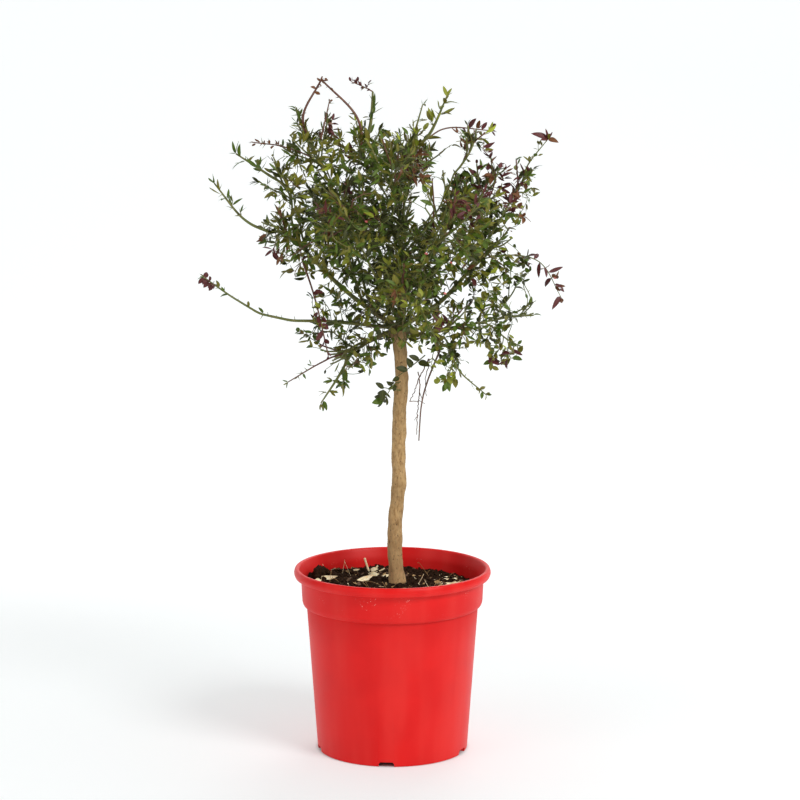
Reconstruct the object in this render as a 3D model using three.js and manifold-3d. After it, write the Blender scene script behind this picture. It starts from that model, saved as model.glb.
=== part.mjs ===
// A small evergreen shrub grown as a standard: a clear stem in a red nursery pot, with an open, unclipped
// head of spiny shoots. Millimetres, +Z up. The origin is the centre of the pot's flat underside,
// -Y is the front, +X is the right.
import * as THREE from "three";
import { mergeVertices } from "three/addons/utils/BufferGeometryUtils.js";
import Module from "manifold-3d";

const wasm = await Module();
wasm.setup();

// ---------------------------------------------------------------- driving dimensions

const GAP = 0.4; // between two pieces that touch
const TURN = 2 * Math.PI;

const POT = {
  height: 205,
  rimRadius: 110,
  rimDepth: 11, // height of the rolled rim
  mouthRadius: 102.6,
  collarTopRadius: 102,
  collarFootRadius: 100.3,
  shoulderZ: 166.5,
  shoulderDrop: 5,
  bodyTopRadius: 95.8,
  footRadius: 84,
  footChamfer: 1.5,
  wall: 2.3,
  floor: 3,
  sides: 40,
};

const NOTCH = { count: 5, width: 18, height: 5, depth: 12, firstTurn: -94.4 };

const SOIL = {
  edgeZ: 184,
  stemZ: 187,
  flatRadius: 16, // the level patch round the stem
  slopeWidth: 40, // from the level patch down to the rest
  roughness: 2.2,
  grain: 14, // the size of its bumps
  wallGap: 0.55,
  clod: { x: -84, y: 22, width: 16, depth: 20, height: 3.5 },
};

const STEM = {
  footX: 5.6,
  footRadius: 10,
  flareHeight: 16,
  radius: 8.2,
  neckRadius: 7.3,
  knuckleZ: 473, // centre of the swelling that the boughs leave from
  knuckleRadius: 10,
  sides: 12,
  steps: 24,
  // How far the stem strays to the right and to the back at even steps of its height.
  strayRight: [0, -3.0, -2.2, 1.4, 2.0, 1.8, 4.2, 3.4, 0],
  strayBack: [0, 1.2, -0.8, -1.5, 0.6, 1.8, 0.4, -1.0, 0],
};

const CROWN = [8, 0, 572]; // the middle of the head

const BOUGH = { footRadius: 3.9, tipRadius: 2.7, sides: 7, steps: 6 };

const SHOOT = { sides: 6, steps: 6 };

// Foliage masses: where each one's middle lies to the right of, behind and above the crown's middle,
// and its half width, half depth and half height.
const MASSES = {
  mass_heart: [[-2, 0, 6], [48, 50, 42]],
  mass_heart_low: [[4, 4, -50], [39, 42, 30]],
  mass_top_left: [[-91, 5, 93], [32, 32, 34]],
  mass_top_middle: [[-40, -5, 88], [32, 34, 30]],
  mass_top_right: [[13, 8, 84], [31, 34, 30]],
  mass_right_top: [[78, -8, 96], [29, 22, 20]],
  mass_right_upper: [[92, 6, 47], [34, 36, 29]],
  mass_right_inner: [[44, -6, 34], [28, 32, 28]],
  mass_far_right: [[130, 2, 58], [19, 20, 22]],
  mass_right: [[86, -8, -18], [40, 38, 33]],
  mass_right_low: [[106, 6, -91], [38, 34, 37]],
  mass_right_under: [[54, -14, -98], [30, 30, 22]],
  mass_left_upper: [[-118, -6, 52], [26, 28, 28]],
  mass_left_inner: [[-70, 4, 32], [36, 36, 34]],
  mass_left: [[-116, 8, 0], [31, 34, 27]],
  mass_left_low: [[-58, -14, -17], [33, 34, 20]],
  mass_left_under: [[-52, 0, -124], [34, 31, 25]],
  mass_front_upper: [[-6, -58, 66], [39, 37, 32]],
  mass_front_left: [[-52, -72, 18], [42, 40, 38]],
  mass_front_right: [[50, -74, 12], [42, 40, 39]],
  mass_front_low: [[6, -70, -46], [40, 38, 30]],
  mass_back_upper: [[4, 62, 66], [40, 38, 34]],
  mass_back_left: [[-62, 76, 12], [44, 42, 42]],
  mass_back_right: [[58, 78, 12], [44, 42, 42]],
  mass_back_low: [[0, 76, -54], [44, 40, 32]],
};
const UNEVEN = 0.13; // how far a mass strays from an ellipsoid, as a share of its radius
const MASS_DETAIL = 2;

// Boughs: from the knuckle to the middle of a mass, bowed to the right, back and up at mid length.
const BOUGHS = {
  bough_left: ["mass_left", [-2, 4, -9]],
  bough_left_under: ["mass_left_under", [-2, 6, 0]],
  bough_heart: ["mass_heart_low", [0, 0, 0]],
  bough_right: ["mass_right", [6, 2, -9]],
  bough_right_under: ["mass_right_under", [0, -2, -7]],
  bough_back: ["mass_back_low", [0, 4, -8]],
  bough_front: ["mass_front_low", [2, -6, -8]],
};

// Outer shoots: the mass they leave, or "knuckle" or "stem"; the tip, measured as the masses are; the
// radius at the foot and at the tip; and how far the shoot bows from a straight line at each even step.
const SHOOTS = {
  shoot_left_long: ["knuckle", [-212, -24, -41], [2.9, 1.1], [-1, -8, -10], [-2, -10, -23]],
  shoot_left_upper: ["mass_left", [-201, -8, 60], [2.3, 0.9], [-6, 0, -14]],
  shoot_upper_left: ["mass_left_upper", [-178, 6, 91], [2.2, 1.0], [-2, 0, 2]],
  shoot_side_left: ["mass_left_upper", [-162, 20, 103], [1.3, 0.7], [22, 4, 16]],
  shoot_stub_left: ["mass_top_left", [-112, -2, 140], [2.4, 1.6], [-3, 0, 0]],
  shoot_arch_left: ["mass_top_left", [-84.6, -14, 170.5], [1.3, 0.9], [-17, -4, -2]],
  shoot_arch_right: ["mass_top_middle", [-83.4, -9, 170.5], [1.5, 0.9], [17, -2, 0]],
  shoot_leader: ["mass_top_middle", [-29, 8, 158], [3.2, 1.3], [3, 4, 0]],
  shoot_top_right: ["mass_top_right", [51, 2, 153], [3.0, 0.9], [3, -2, -2]],
  shoot_arch_purple: ["mass_top_right", [101, 26, 115], [1.3, 0.7], [-12, 6, 17]],
  shoot_far_right: ["mass_far_right", [161, 2, 107], [1.7, 0.8], [-6, 0, -3]],
  shoot_right_drooping: ["mass_right", [177, 0, -66], [1.9, 0.7], [19, -2, 18]],
  shoot_bottom_right: ["mass_right_under", [94, -34, -168], [1.5, 0.7], [-13, -6, -4]],
  shoot_bottom_left: ["mass_left_under", [-86, -24, -179], [2.5, 0.9], [4, -6, 4]],
  shoot_bottom_side: ["mass_left_under", [-122, -14, -157], [1.4, 0.7], [4, -4, 6]],
  shoot_purple_left: ["mass_left", [-77, -44, -124], [1.5, 0.8], [4, -12, 2]],
  shoot_stem_sprig: ["stem", [-18, -18, -178], [1.2, 0.7], [2, -8, 8]],
  shoot_dead_twig: ["mass_right_under", [21, -34, -219], [1.0, 0.6], [-12, -2, -12]],
  shoot_back_left: ["mass_back_left", [-104, 162, 62], [2.3, 0.9], [0, 4, -8]],
  shoot_back_right: ["mass_back_right", [92, 168, 44], [2.2, 0.9], [0, 6, -8]],
  shoot_back_low: ["mass_back_low", [-34, 164, -104], [1.8, 0.8], [0, 8, 6]],
  shoot_back_top: ["mass_back_upper", [26, 116, 140], [2.4, 0.9], [0, 2, 0]],
  shoot_front_low: ["mass_front_low", [38, -150, -92], [1.6, 0.8], [0, -8, 4]],
  shoot_front_right: ["mass_front_right", [86, -146, 58], [1.8, 0.9], [0, -4, -6]],
};
const STEM_SPRIG_Z = 415; // where the low sprig leaves the stem

// ---------------------------------------------------------------- materials

const finish = (color, roughness) =>
  new THREE.MeshStandardMaterial({ color, roughness, metalness: 0 });
const RED_PLASTIC = finish("#d8302c", 0.42);
const COMPOST = finish("#2b1c14", 0.95);
const BARK = finish("#b08a5c", 0.8);
const GREEN_BARK = finish("#4f6428", 0.55);
const RED_BARK = finish("#6e2b2b", 0.55);
const DEAD_BARK = finish("#5a4034", 0.85);
const FOLIAGE = finish("#3b5224", 0.5);

// ---------------------------------------------------------------- helpers

const vec = (a) => new THREE.Vector3(...a);
const fromCrown = (offset) => vec(offset).add(vec(CROWN));

// A smooth uneven value between -1 and 1 for a point, which differs for each seed.
function unevenness(p, seed) {
  const a = Math.sin(p.x * 2.1 + seed * 1.7) * Math.cos(p.y * 2.6 - seed * 0.9);
  const b = Math.sin(p.z * 2.9 + seed * 2.3 + p.x * 1.3);
  const c = Math.cos(p.y * 4.3 + p.z * 3.1 + seed * 0.6);
  return (a + b + 0.7 * c) / 2.7;
}

// A closed surface from rings of points, each as long as the next, fanned shut at both ends.
function closedRings(rings) {
  const sides = rings[0].length;
  const middle = (ring) =>
    ring.reduce((sum, p) => sum.add(p), new THREE.Vector3()).divideScalar(sides);
  const points = [...rings.flat(), middle(rings[0]), middle(rings.at(-1))];
  const first = points.length - 2;
  const last = points.length - 1;
  const faces = [];
  for (let i = 0; i < sides; i++) {
    const j = (i + 1) % sides;
    faces.push(first, j, i);
    for (let k = 0; k < rings.length - 1; k++) {
      const low = k * sides;
      const high = low + sides;
      faces.push(low + i, low + j, high + j, low + i, high + j, high + i);
    }
    const top = (rings.length - 1) * sides;
    faces.push(last, top + i, top + j);
  }
  return new THREE.BufferGeometry().setFromPoints(points).setIndex(faces);
}

// The rings of a round limb along a curve between two shares of its length.
function limbRings(curve, radiusAt, { sides, steps, from = 0, to = 1 }) {
  const frames = curve.computeFrenetFrames(steps * 4, false);
  return Array.from({ length: steps + 1 }, (_, k) => {
    const along = from + ((to - from) * k) / steps;
    const centre = curve.getPointAt(along);
    const at = Math.round(along * steps * 4);
    const radius = radiusAt(along);
    return Array.from({ length: sides }, (_, i) => {
      const a = (TURN * i) / sides;
      return centre
        .clone()
        .addScaledVector(frames.normals[at], radius * Math.cos(a))
        .addScaledVector(frames.binormals[at], radius * Math.sin(a));
    });
  });
}

// A curve from one point to another that strays from the straight line by each bow, at even steps.
function bowed(start, end, bows) {
  const strayed = bows.map((bow, i) =>
    start.clone().lerp(end, (i + 1) / (bows.length + 1)).add(vec(bow)),
  );
  return new THREE.CatmullRomCurve3([start, ...strayed, end], false, "centripetal");
}

function solidOf(geometry) {
  const bare = geometry.clone();
  bare.deleteAttribute("normal");
  bare.deleteAttribute("uv");
  const merged = mergeVertices(bare, 1e-3);
  const kept = [];
  const index = merged.index.array;
  for (let i = 0; i < index.length; i += 3) {
    const [a, b, c] = index.slice(i, i + 3);
    if (a !== b && b !== c && c !== a) kept.push(a, b, c);
  }
  return new wasm.Manifold(
    new wasm.Mesh({
      numProp: 3,
      vertProperties: merged.attributes.position.array,
      triVerts: new Uint32Array(kept),
    }),
  );
}

function geometryOf(solid) {
  const { vertProperties, triVerts } = solid.getMesh();
  return new THREE.BufferGeometry()
    .setAttribute("position", new THREE.BufferAttribute(vertProperties, 3))
    .setIndex(new THREE.BufferAttribute(triVerts, 1));
}

function named(name, geometry, material) {
  const mesh = new THREE.Mesh(geometry, material);
  mesh.name = name;
  return mesh;
}

// ---------------------------------------------------------------- pot and compost

// The pot's outer line from its foot to the top of the rim, as [radius, height].
function potOutside() {
  const beadFoot = POT.height - POT.rimDepth;
  return [
    [POT.footRadius - POT.footChamfer, 0],
    [POT.footRadius, POT.footChamfer],
    [POT.bodyTopRadius, POT.shoulderZ - POT.shoulderDrop],
    [POT.collarFootRadius, POT.shoulderZ],
    [POT.collarTopRadius, beadFoot],
    [POT.rimRadius - 1.5, beadFoot],
    [POT.rimRadius, beadFoot + POT.rimDepth * 0.45],
    [POT.rimRadius - 0.8, beadFoot + POT.rimDepth * 0.8],
    [POT.rimRadius - 2.8, POT.height],
    [POT.mouthRadius + 2, POT.height],
  ];
}

// The pot's inner line from the mouth down to the floor's edge.
function potInside() {
  return [
    [POT.mouthRadius, POT.height - 2],
    [POT.collarTopRadius - POT.wall, POT.height - POT.rimDepth],
    [POT.collarFootRadius - POT.wall, POT.shoulderZ + 0.7],
    [POT.bodyTopRadius - POT.wall, POT.shoulderZ - POT.shoulderDrop - 0.9],
    [POT.footRadius - POT.wall, POT.floor],
  ];
}

function pot() {
  const profile = [[0, 0], ...potOutside(), ...potInside(), [0, POT.floor]];
  const shell = new THREE.LatheGeometry(
    profile.map(([radius, height]) => new THREE.Vector2(radius, height)),
    POT.sides,
  ).rotateX(Math.PI / 2);
  let solid = solidOf(shell);
  for (let i = 0; i < NOTCH.count; i++) {
    const turn = THREE.MathUtils.degToRad(NOTCH.firstTurn) + (TURN * i) / NOTCH.count;
    const cutter = new THREE.BoxGeometry(NOTCH.depth, NOTCH.width, 2 * NOTCH.height)
      .translate(POT.footRadius, 0, 0)
      .rotateZ(turn);
    solid = solid.subtract(solidOf(cutter));
  }
  return named("pot", geometryOf(solid), RED_PLASTIC);
}

// The compost's surface: level round the stem, rough further out, with one clod at the left edge.
function compostHeight(x, y) {
  const fromStem = Math.hypot(x - STEM.footX, y);
  if (fromStem <= SOIL.flatRadius + 0.01) return SOIL.stemZ;
  const out = Math.min(1, (fromStem - SOIL.flatRadius) / SOIL.slopeWidth);
  const rough = SOIL.roughness * unevenness(new THREE.Vector3(x / SOIL.grain, y / SOIL.grain, 0.5), 3);
  const { clod } = SOIL;
  const fromClod = Math.hypot((x - clod.x) / clod.width, (y - clod.y) / clod.depth);
  const level = THREE.MathUtils.lerp(SOIL.stemZ, SOIL.edgeZ, out);
  return level + out * rough + clod.height * Math.exp(-(fromClod ** 2));
}

function compost() {
  const [, collarTop, collarFoot, bodyTop, foot] = potInside();
  const collarShare = (SOIL.edgeZ - collarFoot[1]) / (collarTop[1] - collarFoot[1]);
  const edgeRadius = THREE.MathUtils.lerp(collarFoot[0], collarTop[0], collarShare) - SOIL.wallGap;
  const ring = (radius, heightAt, centreX = 0) =>
    Array.from({ length: POT.sides }, (_, i) => {
      const a = (TURN * i) / POT.sides;
      const x = centreX + radius * Math.cos(a);
      const y = radius * Math.sin(a);
      return new THREE.Vector3(x, y, heightAt(x, y));
    });
  const level = ([radius, z]) => ring(radius - SOIL.wallGap, () => z + GAP);
  const surface = [1, 0.84, 0.66, 0.48, 0.3, SOIL.flatRadius / edgeRadius].map((share) =>
    ring(edgeRadius * share, compostHeight, STEM.footX * (1 - share)),
  );
  return named("compost", closedRings([level(foot), level(bodyTop), level(collarFoot), ...surface]), COMPOST);
}

// ---------------------------------------------------------------- stem

function stemCurve() {
  const foot = SOIL.stemZ + GAP;
  const last = STEM.strayRight.length - 1;
  return new THREE.CatmullRomCurve3(
    STEM.strayRight.map(
      (right, i) =>
        new THREE.Vector3(
          STEM.footX + right,
          STEM.strayBack[i],
          THREE.MathUtils.lerp(foot, STEM.knuckleZ + STEM.knuckleRadius * 0.94, i / last),
        ),
    ),
  );
}

function stemRadius(along) {
  const length = STEM.knuckleZ + STEM.knuckleRadius - SOIL.stemZ;
  const height = along * length;
  const flare = (STEM.footRadius - STEM.radius) * Math.exp(-height / (STEM.flareHeight / 2));
  const plain = THREE.MathUtils.lerp(STEM.radius, STEM.neckRadius, along) + flare;
  const toKnuckle = (length - STEM.knuckleRadius - height) / STEM.knuckleRadius;
  const ball = STEM.knuckleRadius * Math.sqrt(Math.max(0, 1 - toKnuckle ** 2));
  return toKnuckle < 0 ? ball : Math.max(plain, ball);
}

function stem() {
  const rings = limbRings(stemCurve(), stemRadius, STEM);
  for (const point of rings[0]) point.z = SOIL.stemZ + GAP; // the flat cut
  return named("stem", closedRings(rings), BARK);
}

// ---------------------------------------------------------------- foliage masses

const massList = Object.entries(MASSES).map(([name, [offset, half]], seed) => ({
  name,
  seed: seed + 1,
  centre: fromCrown(offset),
  half: vec(half),
}));

// How far a mass reaches from its middle in a direction: an uneven ellipsoid, cut back to the plane
// that it shares with each neighbour.
function massReach(mass, direction) {
  const { x, y, z } = direction;
  const ellipsoid = 1 / Math.hypot(x / mass.half.x, y / mass.half.y, z / mass.half.z);
  let reach = ellipsoid * (1 + UNEVEN * unevenness(direction, mass.seed));
  for (const other of massList) {
    if (other === mass) continue;
    const across = other.centre.clone().sub(mass.centre);
    const apart = across.length();
    const share = mass.half.length() / (mass.half.length() + other.half.length());
    const slope = direction.dot(across) / apart;
    if (slope > 0.05) reach = Math.min(reach, (apart * share - GAP * 2) / slope);
  }
  return reach;
}

function foliage(mass) {
  const ball = new THREE.IcosahedronGeometry(1, MASS_DETAIL);
  ball.deleteAttribute("normal");
  ball.deleteAttribute("uv");
  const shape = mergeVertices(ball, 1e-4);
  const at = shape.attributes.position;
  for (let i = 0; i < at.count; i++) {
    const direction = new THREE.Vector3().fromBufferAttribute(at, i).normalize();
    const point = direction.clone().multiplyScalar(massReach(mass, direction)).add(mass.centre);
    at.setXYZ(i, point.x, point.y, point.z);
  }
  return named(mass.name, shape, FOLIAGE);
}

// True if a ball of this radius at this point is clear of every mass.
function clearOfMasses(point, radius) {
  return massList.every((mass) => {
    const out = point.clone().sub(mass.centre);
    return out.length() > massReach(mass, out.clone().normalize()) + radius + 2 * GAP;
  });
}

// ---------------------------------------------------------------- boughs and shoots

const stemLine = stemCurve();
const knuckle = stemLine.getPointAt(1 - STEM.knuckleRadius / stemLine.getLength());
const massNamed = (name) => massList.find((mass) => mass.name === name);
const STEP = 0.004; // the share of a limb's length that each trial moves its end

function limb(name, curve, [foot, tip], range, { sides, steps }, material) {
  const radiusAt = (along) => THREE.MathUtils.lerp(foot, tip, along);
  const rings = limbRings(curve, radiusAt, { sides, steps, ...range });
  return named(name, closedRings(rings), material);
}

// Where a limb that starts on the knuckle leaves it.
const knuckleShare = (curve) => (STEM.knuckleRadius + 2 * GAP) / curve.getLength();

function bough(name, [target, bow]) {
  const curve = bowed(knuckle, massNamed(target).centre, [bow]);
  const from = knuckleShare(curve);
  let to = from + STEP;
  while (to < 1 && clearOfMasses(curve.getPointAt(to), BOUGH.footRadius)) to += STEP;
  return limb(name, curve, [BOUGH.footRadius, BOUGH.tipRadius], { from, to: to - STEP }, BOUGH, GREEN_BARK);
}

function shootStart(parent) {
  if (parent === "knuckle") return knuckle;
  if (parent === "stem") return new THREE.Vector3(STEM.footX + 3, 0, STEM_SPRIG_Z);
  return massNamed(parent).centre;
}

function shoot(name, [parent, tip, radii, ...bows]) {
  const curve = bowed(shootStart(parent), fromCrown(tip), bows);
  let from = parent === "knuckle" ? knuckleShare(curve) : 0;
  if (parent === "stem") from = (STEM.radius + 2 * GAP) / curve.getLength();
  if (massNamed(parent)) {
    from = 1;
    while (from > 0 && clearOfMasses(curve.getPointAt(from), radii[0])) from -= STEP;
    from += STEP;
  }
  const material = /purple|arch|side/.test(name) ? RED_BARK : /dead/.test(name) ? DEAD_BARK : GREEN_BARK;
  return limb(name, curve, radii, { from, to: 1 }, SHOOT, material);
}

// ---------------------------------------------------------------- the whole plant

const plant = new THREE.Group();
plant.name = "standard_shrub_in_pot";
plant.add(pot(), compost(), stem());
for (const mass of massList) plant.add(foliage(mass));
for (const [name, spec] of Object.entries(BOUGHS)) plant.add(bough(name, spec));
for (const [name, spec] of Object.entries(SHOOTS)) plant.add(shoot(name, spec));

export default plant;
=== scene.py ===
# %% [markdown]
# # A small standard shrub in its nursery pot
#
# The real thing is a young spiny evergreen, grown on one clear stem with a loose head of shoots, in a red
# plastic pot of compost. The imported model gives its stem, boughs and outer shoots as plain tapered limbs,
# and each mass of foliage as an uneven lump. This script keeps those places and grows the real surface on
# them: bark, twigs, leaves, spines, crumbs of compost and a moulded pot.

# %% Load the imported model
import math
from dataclasses import dataclass

import bmesh
import bpy
import numpy as np
from mathutils import Matrix, Vector
from mathutils.bvhtree import BVHTree
from mathutils.kdtree import KDTree


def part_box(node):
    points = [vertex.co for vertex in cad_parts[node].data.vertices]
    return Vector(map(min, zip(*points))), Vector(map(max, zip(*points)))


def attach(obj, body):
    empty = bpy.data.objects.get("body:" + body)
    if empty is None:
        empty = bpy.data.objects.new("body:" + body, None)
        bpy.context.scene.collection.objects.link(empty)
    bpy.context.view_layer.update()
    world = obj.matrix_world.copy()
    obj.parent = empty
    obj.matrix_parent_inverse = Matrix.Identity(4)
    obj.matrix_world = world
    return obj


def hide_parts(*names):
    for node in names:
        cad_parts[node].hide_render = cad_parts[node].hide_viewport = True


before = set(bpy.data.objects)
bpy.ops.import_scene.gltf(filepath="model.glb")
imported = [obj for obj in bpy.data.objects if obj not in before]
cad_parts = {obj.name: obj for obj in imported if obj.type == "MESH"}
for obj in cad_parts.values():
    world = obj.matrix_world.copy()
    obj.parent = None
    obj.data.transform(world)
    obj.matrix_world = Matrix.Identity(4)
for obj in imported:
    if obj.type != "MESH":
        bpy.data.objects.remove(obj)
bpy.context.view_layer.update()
MM = 0.001
TURN = 2 * math.pi
UP = np.array([0.0, 0.0, 1.0])
rng = np.random.default_rng(11)
print("packed nodes:", len(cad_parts))

# %% [markdown]
# ## Sums on sockets
#
# Both materials and geometry trees are graphs of nodes. A graph can be clicked together by hand, or each
# node can be made with three lines of Python. Here one small class adds a node from its type, settings and
# inputs, and another wraps an output, so that a sum such as 1 - mask * 0.5 adds its own Math nodes.


# %% Graph helpers
class Value:
    """An output socket that can be used in sums. Each operator adds a Math node."""

    def __init__(self, graph, socket):
        self.graph = graph
        self.socket = socket

    def math(self, operation, *values):
        inputs = dict(enumerate(values))
        return self.graph.node("ShaderNodeMath", {"operation": operation}, inputs)

    def __add__(self, other):
        return self.math("ADD", self, other)

    def __radd__(self, other):
        return self.math("ADD", other, self)

    def __sub__(self, other):
        return self.math("SUBTRACT", self, other)

    def __rsub__(self, other):
        return self.math("SUBTRACT", other, self)

    def __mul__(self, other):
        return self.math("MULTIPLY", self, other)

    def ramp(self, low, high):
        """0 below low, 1 above high, smooth between."""
        settings = {"interpolation_type": "SMOOTHSTEP"}
        inputs = {"Value": self, "From Min": low, "From Max": high}
        return self.graph.node("ShaderNodeMapRange", settings, inputs)

    def only(self, operation):
        """The value put through an operation that needs no other, such as SINE."""
        return self.math(operation, self)

    def length(self):
        """The length of a vector."""
        return self.graph.node("ShaderNodeVectorMath", {"operation": "LENGTH"}, {0: self}, output=1)

    def parts(self):
        """The x, y and z of a vector."""
        node = self.graph.node("ShaderNodeSeparateXYZ", None, {0: self}).socket.node
        return [Value(self.graph, socket) for socket in node.outputs]


class Graph:
    """Adds nodes to a tree."""

    def __init__(self, tree):
        self.tree = tree

    def node(self, kind, settings=None, inputs=None, output=0):
        made = self.tree.nodes.new(kind)
        for name, value in (settings or {}).items():
            setattr(made, name, value)
        for key, value in (inputs or {}).items():
            for part in value if isinstance(value, list) else [value]:
                if isinstance(part, Value):
                    self.tree.links.new(part.socket, made.inputs[key])
                else:
                    made.inputs[key].default_value = part
        return Value(self, made.outputs[output])

    def mix(self, factor, first, second):
        """A colour between two colours."""
        inputs = {0: factor, 6: first, 7: second}
        return self.node("ShaderNodeMix", {"data_type": "RGBA"}, inputs, output=2)


# %% [markdown]
# ## Finishes
#
# Every surface is a Principled shader. Patterns on the pot, compost and bark read Object coordinates, which
# stay put on a piece because each object sits at the origin. Leaves are too many for one shared pattern,
# so a leaf's pattern reads its own small UV map, and its colour is one plain colour for each spray.


# %% Material helpers
def colour(red, green, blue):
    """A linear colour from screen values of 0 to 255."""
    return tuple(((c / 255 + 0.055) / 1.055) ** 2.4 for c in (red, green, blue)) + (1.0,)


def new_material(name, roughness, specular=0.5):
    material = bpy.data.materials.new(name)
    material.use_nodes = True
    shader = material.node_tree.nodes["Principled BSDF"]
    shader.inputs["Roughness"].default_value = roughness
    shader.inputs["Specular IOR Level"].default_value = specular
    return material, Graph(material.node_tree), shader


def feed(graph, shader, **links):
    """Links values to the shader's sockets: base_color=..., roughness=..."""
    for name, value in links.items():
        graph.tree.links.new(value.socket, shader.inputs[name.replace("_", " ").title()])


def object_place(graph, stretch=(1, 1, 1)):
    """Object coordinates. A pattern on them is drawn out along an axis whose stretch is under 1."""
    place = graph.node("ShaderNodeTexCoord", output=3)
    return graph.node("ShaderNodeMapping", None, {"Vector": place, "Scale": stretch})


def noise(graph, place, size, detail=3.0, rough=0.5):
    """Smooth noise whose lumps are about size metres across."""
    inputs = {"Vector": place, "Scale": 1 / size, "Detail": detail, "Roughness": rough}
    return graph.node("ShaderNodeTexNoise", None, inputs)


def bump(graph, height, distance, strength=1.0):
    inputs = {"Height": height, "Distance": distance, "Strength": strength}
    return graph.node("ShaderNodeBump", None, inputs)


# %% [markdown]
# ## Geometry trees
#
# What repeats is made by Geometry Nodes: a tube along every twig, and a leaf, spine or crumb at every point
# of a cloud. A tree has named inputs, which the modifier sets by each socket's identifier. It ends by
# realizing its instances, and the evaluated result is copied to a plain mesh.


# %% Geometry tree helpers
def start_tree(name, **inputs):
    """A tree with a geometry input and these more: name=(socket kind, first value)."""
    tree = bpy.data.node_groups.new(name, "GeometryNodeTree")
    tree.interface.new_socket("Geometry", in_out="INPUT", socket_type="NodeSocketGeometry")
    tree.interface.new_socket("Geometry", in_out="OUTPUT", socket_type="NodeSocketGeometry")
    for label, (kind, value) in inputs.items():
        socket = tree.interface.new_socket(label, in_out="INPUT", socket_type="NodeSocket" + kind)
        socket.default_value = value
    graph = Graph(tree)
    group = tree.nodes.new("NodeGroupInput")
    sockets = {s.name: Value(graph, s) for s in group.outputs if s.name}
    return graph, sockets


def end_tree(graph, result, material, smooth=True):
    """Realizes the result, gives it its material and sends it out."""
    real = graph.node("GeometryNodeRealizeInstances", None, {0: result})
    shaded = graph.node("GeometryNodeSetShadeSmooth", None, {0: real, 2: smooth})
    painted = graph.node("GeometryNodeSetMaterial", None, {0: shaded, 2: material})
    group = graph.tree.nodes.new("NodeGroupOutput")
    graph.tree.links.new(painted.socket, group.inputs[0])


def stored(graph, name, kind="FLOAT"):
    """A value that was stored on the points by put_attribute."""
    return graph.node("GeometryNodeInputNamedAttribute", {"data_type": kind}, {0: name})


def run_tree(name, mesh, graph, **values):
    """Runs a tree on a mesh with these input values, and returns the result as a plain object."""
    source = bpy.data.objects.new("source", mesh)
    bpy.context.scene.collection.objects.link(source)
    modifier = source.modifiers.new("grow", "NODES")
    modifier.node_group = graph.tree
    for item in graph.tree.interface.items_tree:
        if item.in_out == "INPUT" and item.name in values:
            modifier[item.identifier] = values[item.name]
    evaluated = source.evaluated_get(bpy.context.evaluated_depsgraph_get())
    result = bpy.data.meshes.new_from_object(evaluated)
    bpy.data.objects.remove(source)
    piece = bpy.data.objects.new(name, result)
    bpy.context.scene.collection.objects.link(piece)
    print(f"{name}: {len(result.polygons)} faces")
    return piece


# %% Mesh helpers
def mesh_of(name, places, faces=(), edges=(), smooth=True):
    mesh = bpy.data.meshes.new(name)
    mesh.from_pydata([tuple(p) for p in places], [tuple(e) for e in edges], [tuple(f) for f in faces])
    if len(faces) and smooth:
        mesh.polygons.foreach_set("use_smooth", [True] * len(faces))
    return mesh


def object_of(name, mesh, material=None):
    piece = bpy.data.objects.new(name, mesh)
    bpy.context.scene.collection.objects.link(piece)
    if material:
        mesh.materials.append(material)
    return piece


def put_attribute(mesh, name, kind, values):
    """Stores one value for each point: kind FLOAT, INT or FLOAT_VECTOR."""
    field = "vector" if kind == "FLOAT_VECTOR" else "value"
    attribute = mesh.attributes.new(name, kind, "POINT")
    attribute.data.foreach_set(field, np.asarray(values).ravel())


def rings_to_faces(rings, sides):
    """Quads between rings of points that follow each other."""
    ring, side = np.meshgrid(np.arange(rings - 1), np.arange(sides), indexing="ij")
    a = (ring * sides + side).ravel()
    b = (ring * sides + (side + 1) % sides).ravel()
    return np.stack([a, b, b + sides, a + sides], 1)


def tube_faces(rings, sides, start=0):
    """The faces of a tube of rings, closed at both ends by one flat face."""
    faces = [tuple(f) for f in rings_to_faces(rings, sides) + start]
    last = start + (rings - 1) * sides
    faces.append(tuple(range(last, last + sides)))
    faces.append(tuple(reversed(range(start, start + sides))))
    return faces


def turns_of(sides):
    """The angles of this many even steps round a circle."""
    return np.arange(sides) * TURN / sides


def circle(radius, height, turns):
    return [(radius * math.cos(a), radius * math.sin(a), height) for a in turns]


def closed_rings(name, rings, first_middle, last_middle):
    """A mesh of rings, closed at each end by a fan of faces round a point on the axis."""
    sides = len(rings[0])
    places = [place for ring in rings for place in ring] + [first_middle, last_middle]
    first, last = len(places) - 2, len(places) - 1
    faces = [tuple(f) for f in rings_to_faces(len(rings), sides)]
    top = (len(rings) - 1) * sides
    for i in range(sides):
        j = (i + 1) % sides
        faces += [(first, j, i), (last, top + i, top + j)]
    return mesh_of(name, places, faces)


def finish_piece(piece, slot, *nodes):
    """The piece stands for these nodes, and rides with the rest of the plant."""
    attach(piece, "root")
    if nodes:
        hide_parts(*nodes)


# %% [markdown]
# ## Vectors and lumps
#
# Growth is worked out on arrays of points, with one seeded generator, so each run gives the same plant.
# Natural unevenness is a sum of waves in random directions: smooth, repeatable, and as fine as its size.


# %% Vector helpers
def unit(v):
    return v / np.maximum(np.linalg.norm(v, axis=-1, keepdims=True), 1e-12)


def pointing(right, back, up):
    """The direction that goes this much each way."""
    return unit(np.array([right, back, up], float))


def across(axis):
    """Two directions at right angles to an axis."""
    other = np.array([1.0, 0, 0]) if abs(axis[0]) < 0.7 else np.array([0, 1.0, 0])
    first = unit(np.cross(axis, other))
    return first, np.cross(axis, first)


def around(axis, angle):
    """A direction square to the axis, turned round it by an angle."""
    first, second = across(axis)
    return first * math.cos(angle) + second * math.sin(angle)


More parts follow.
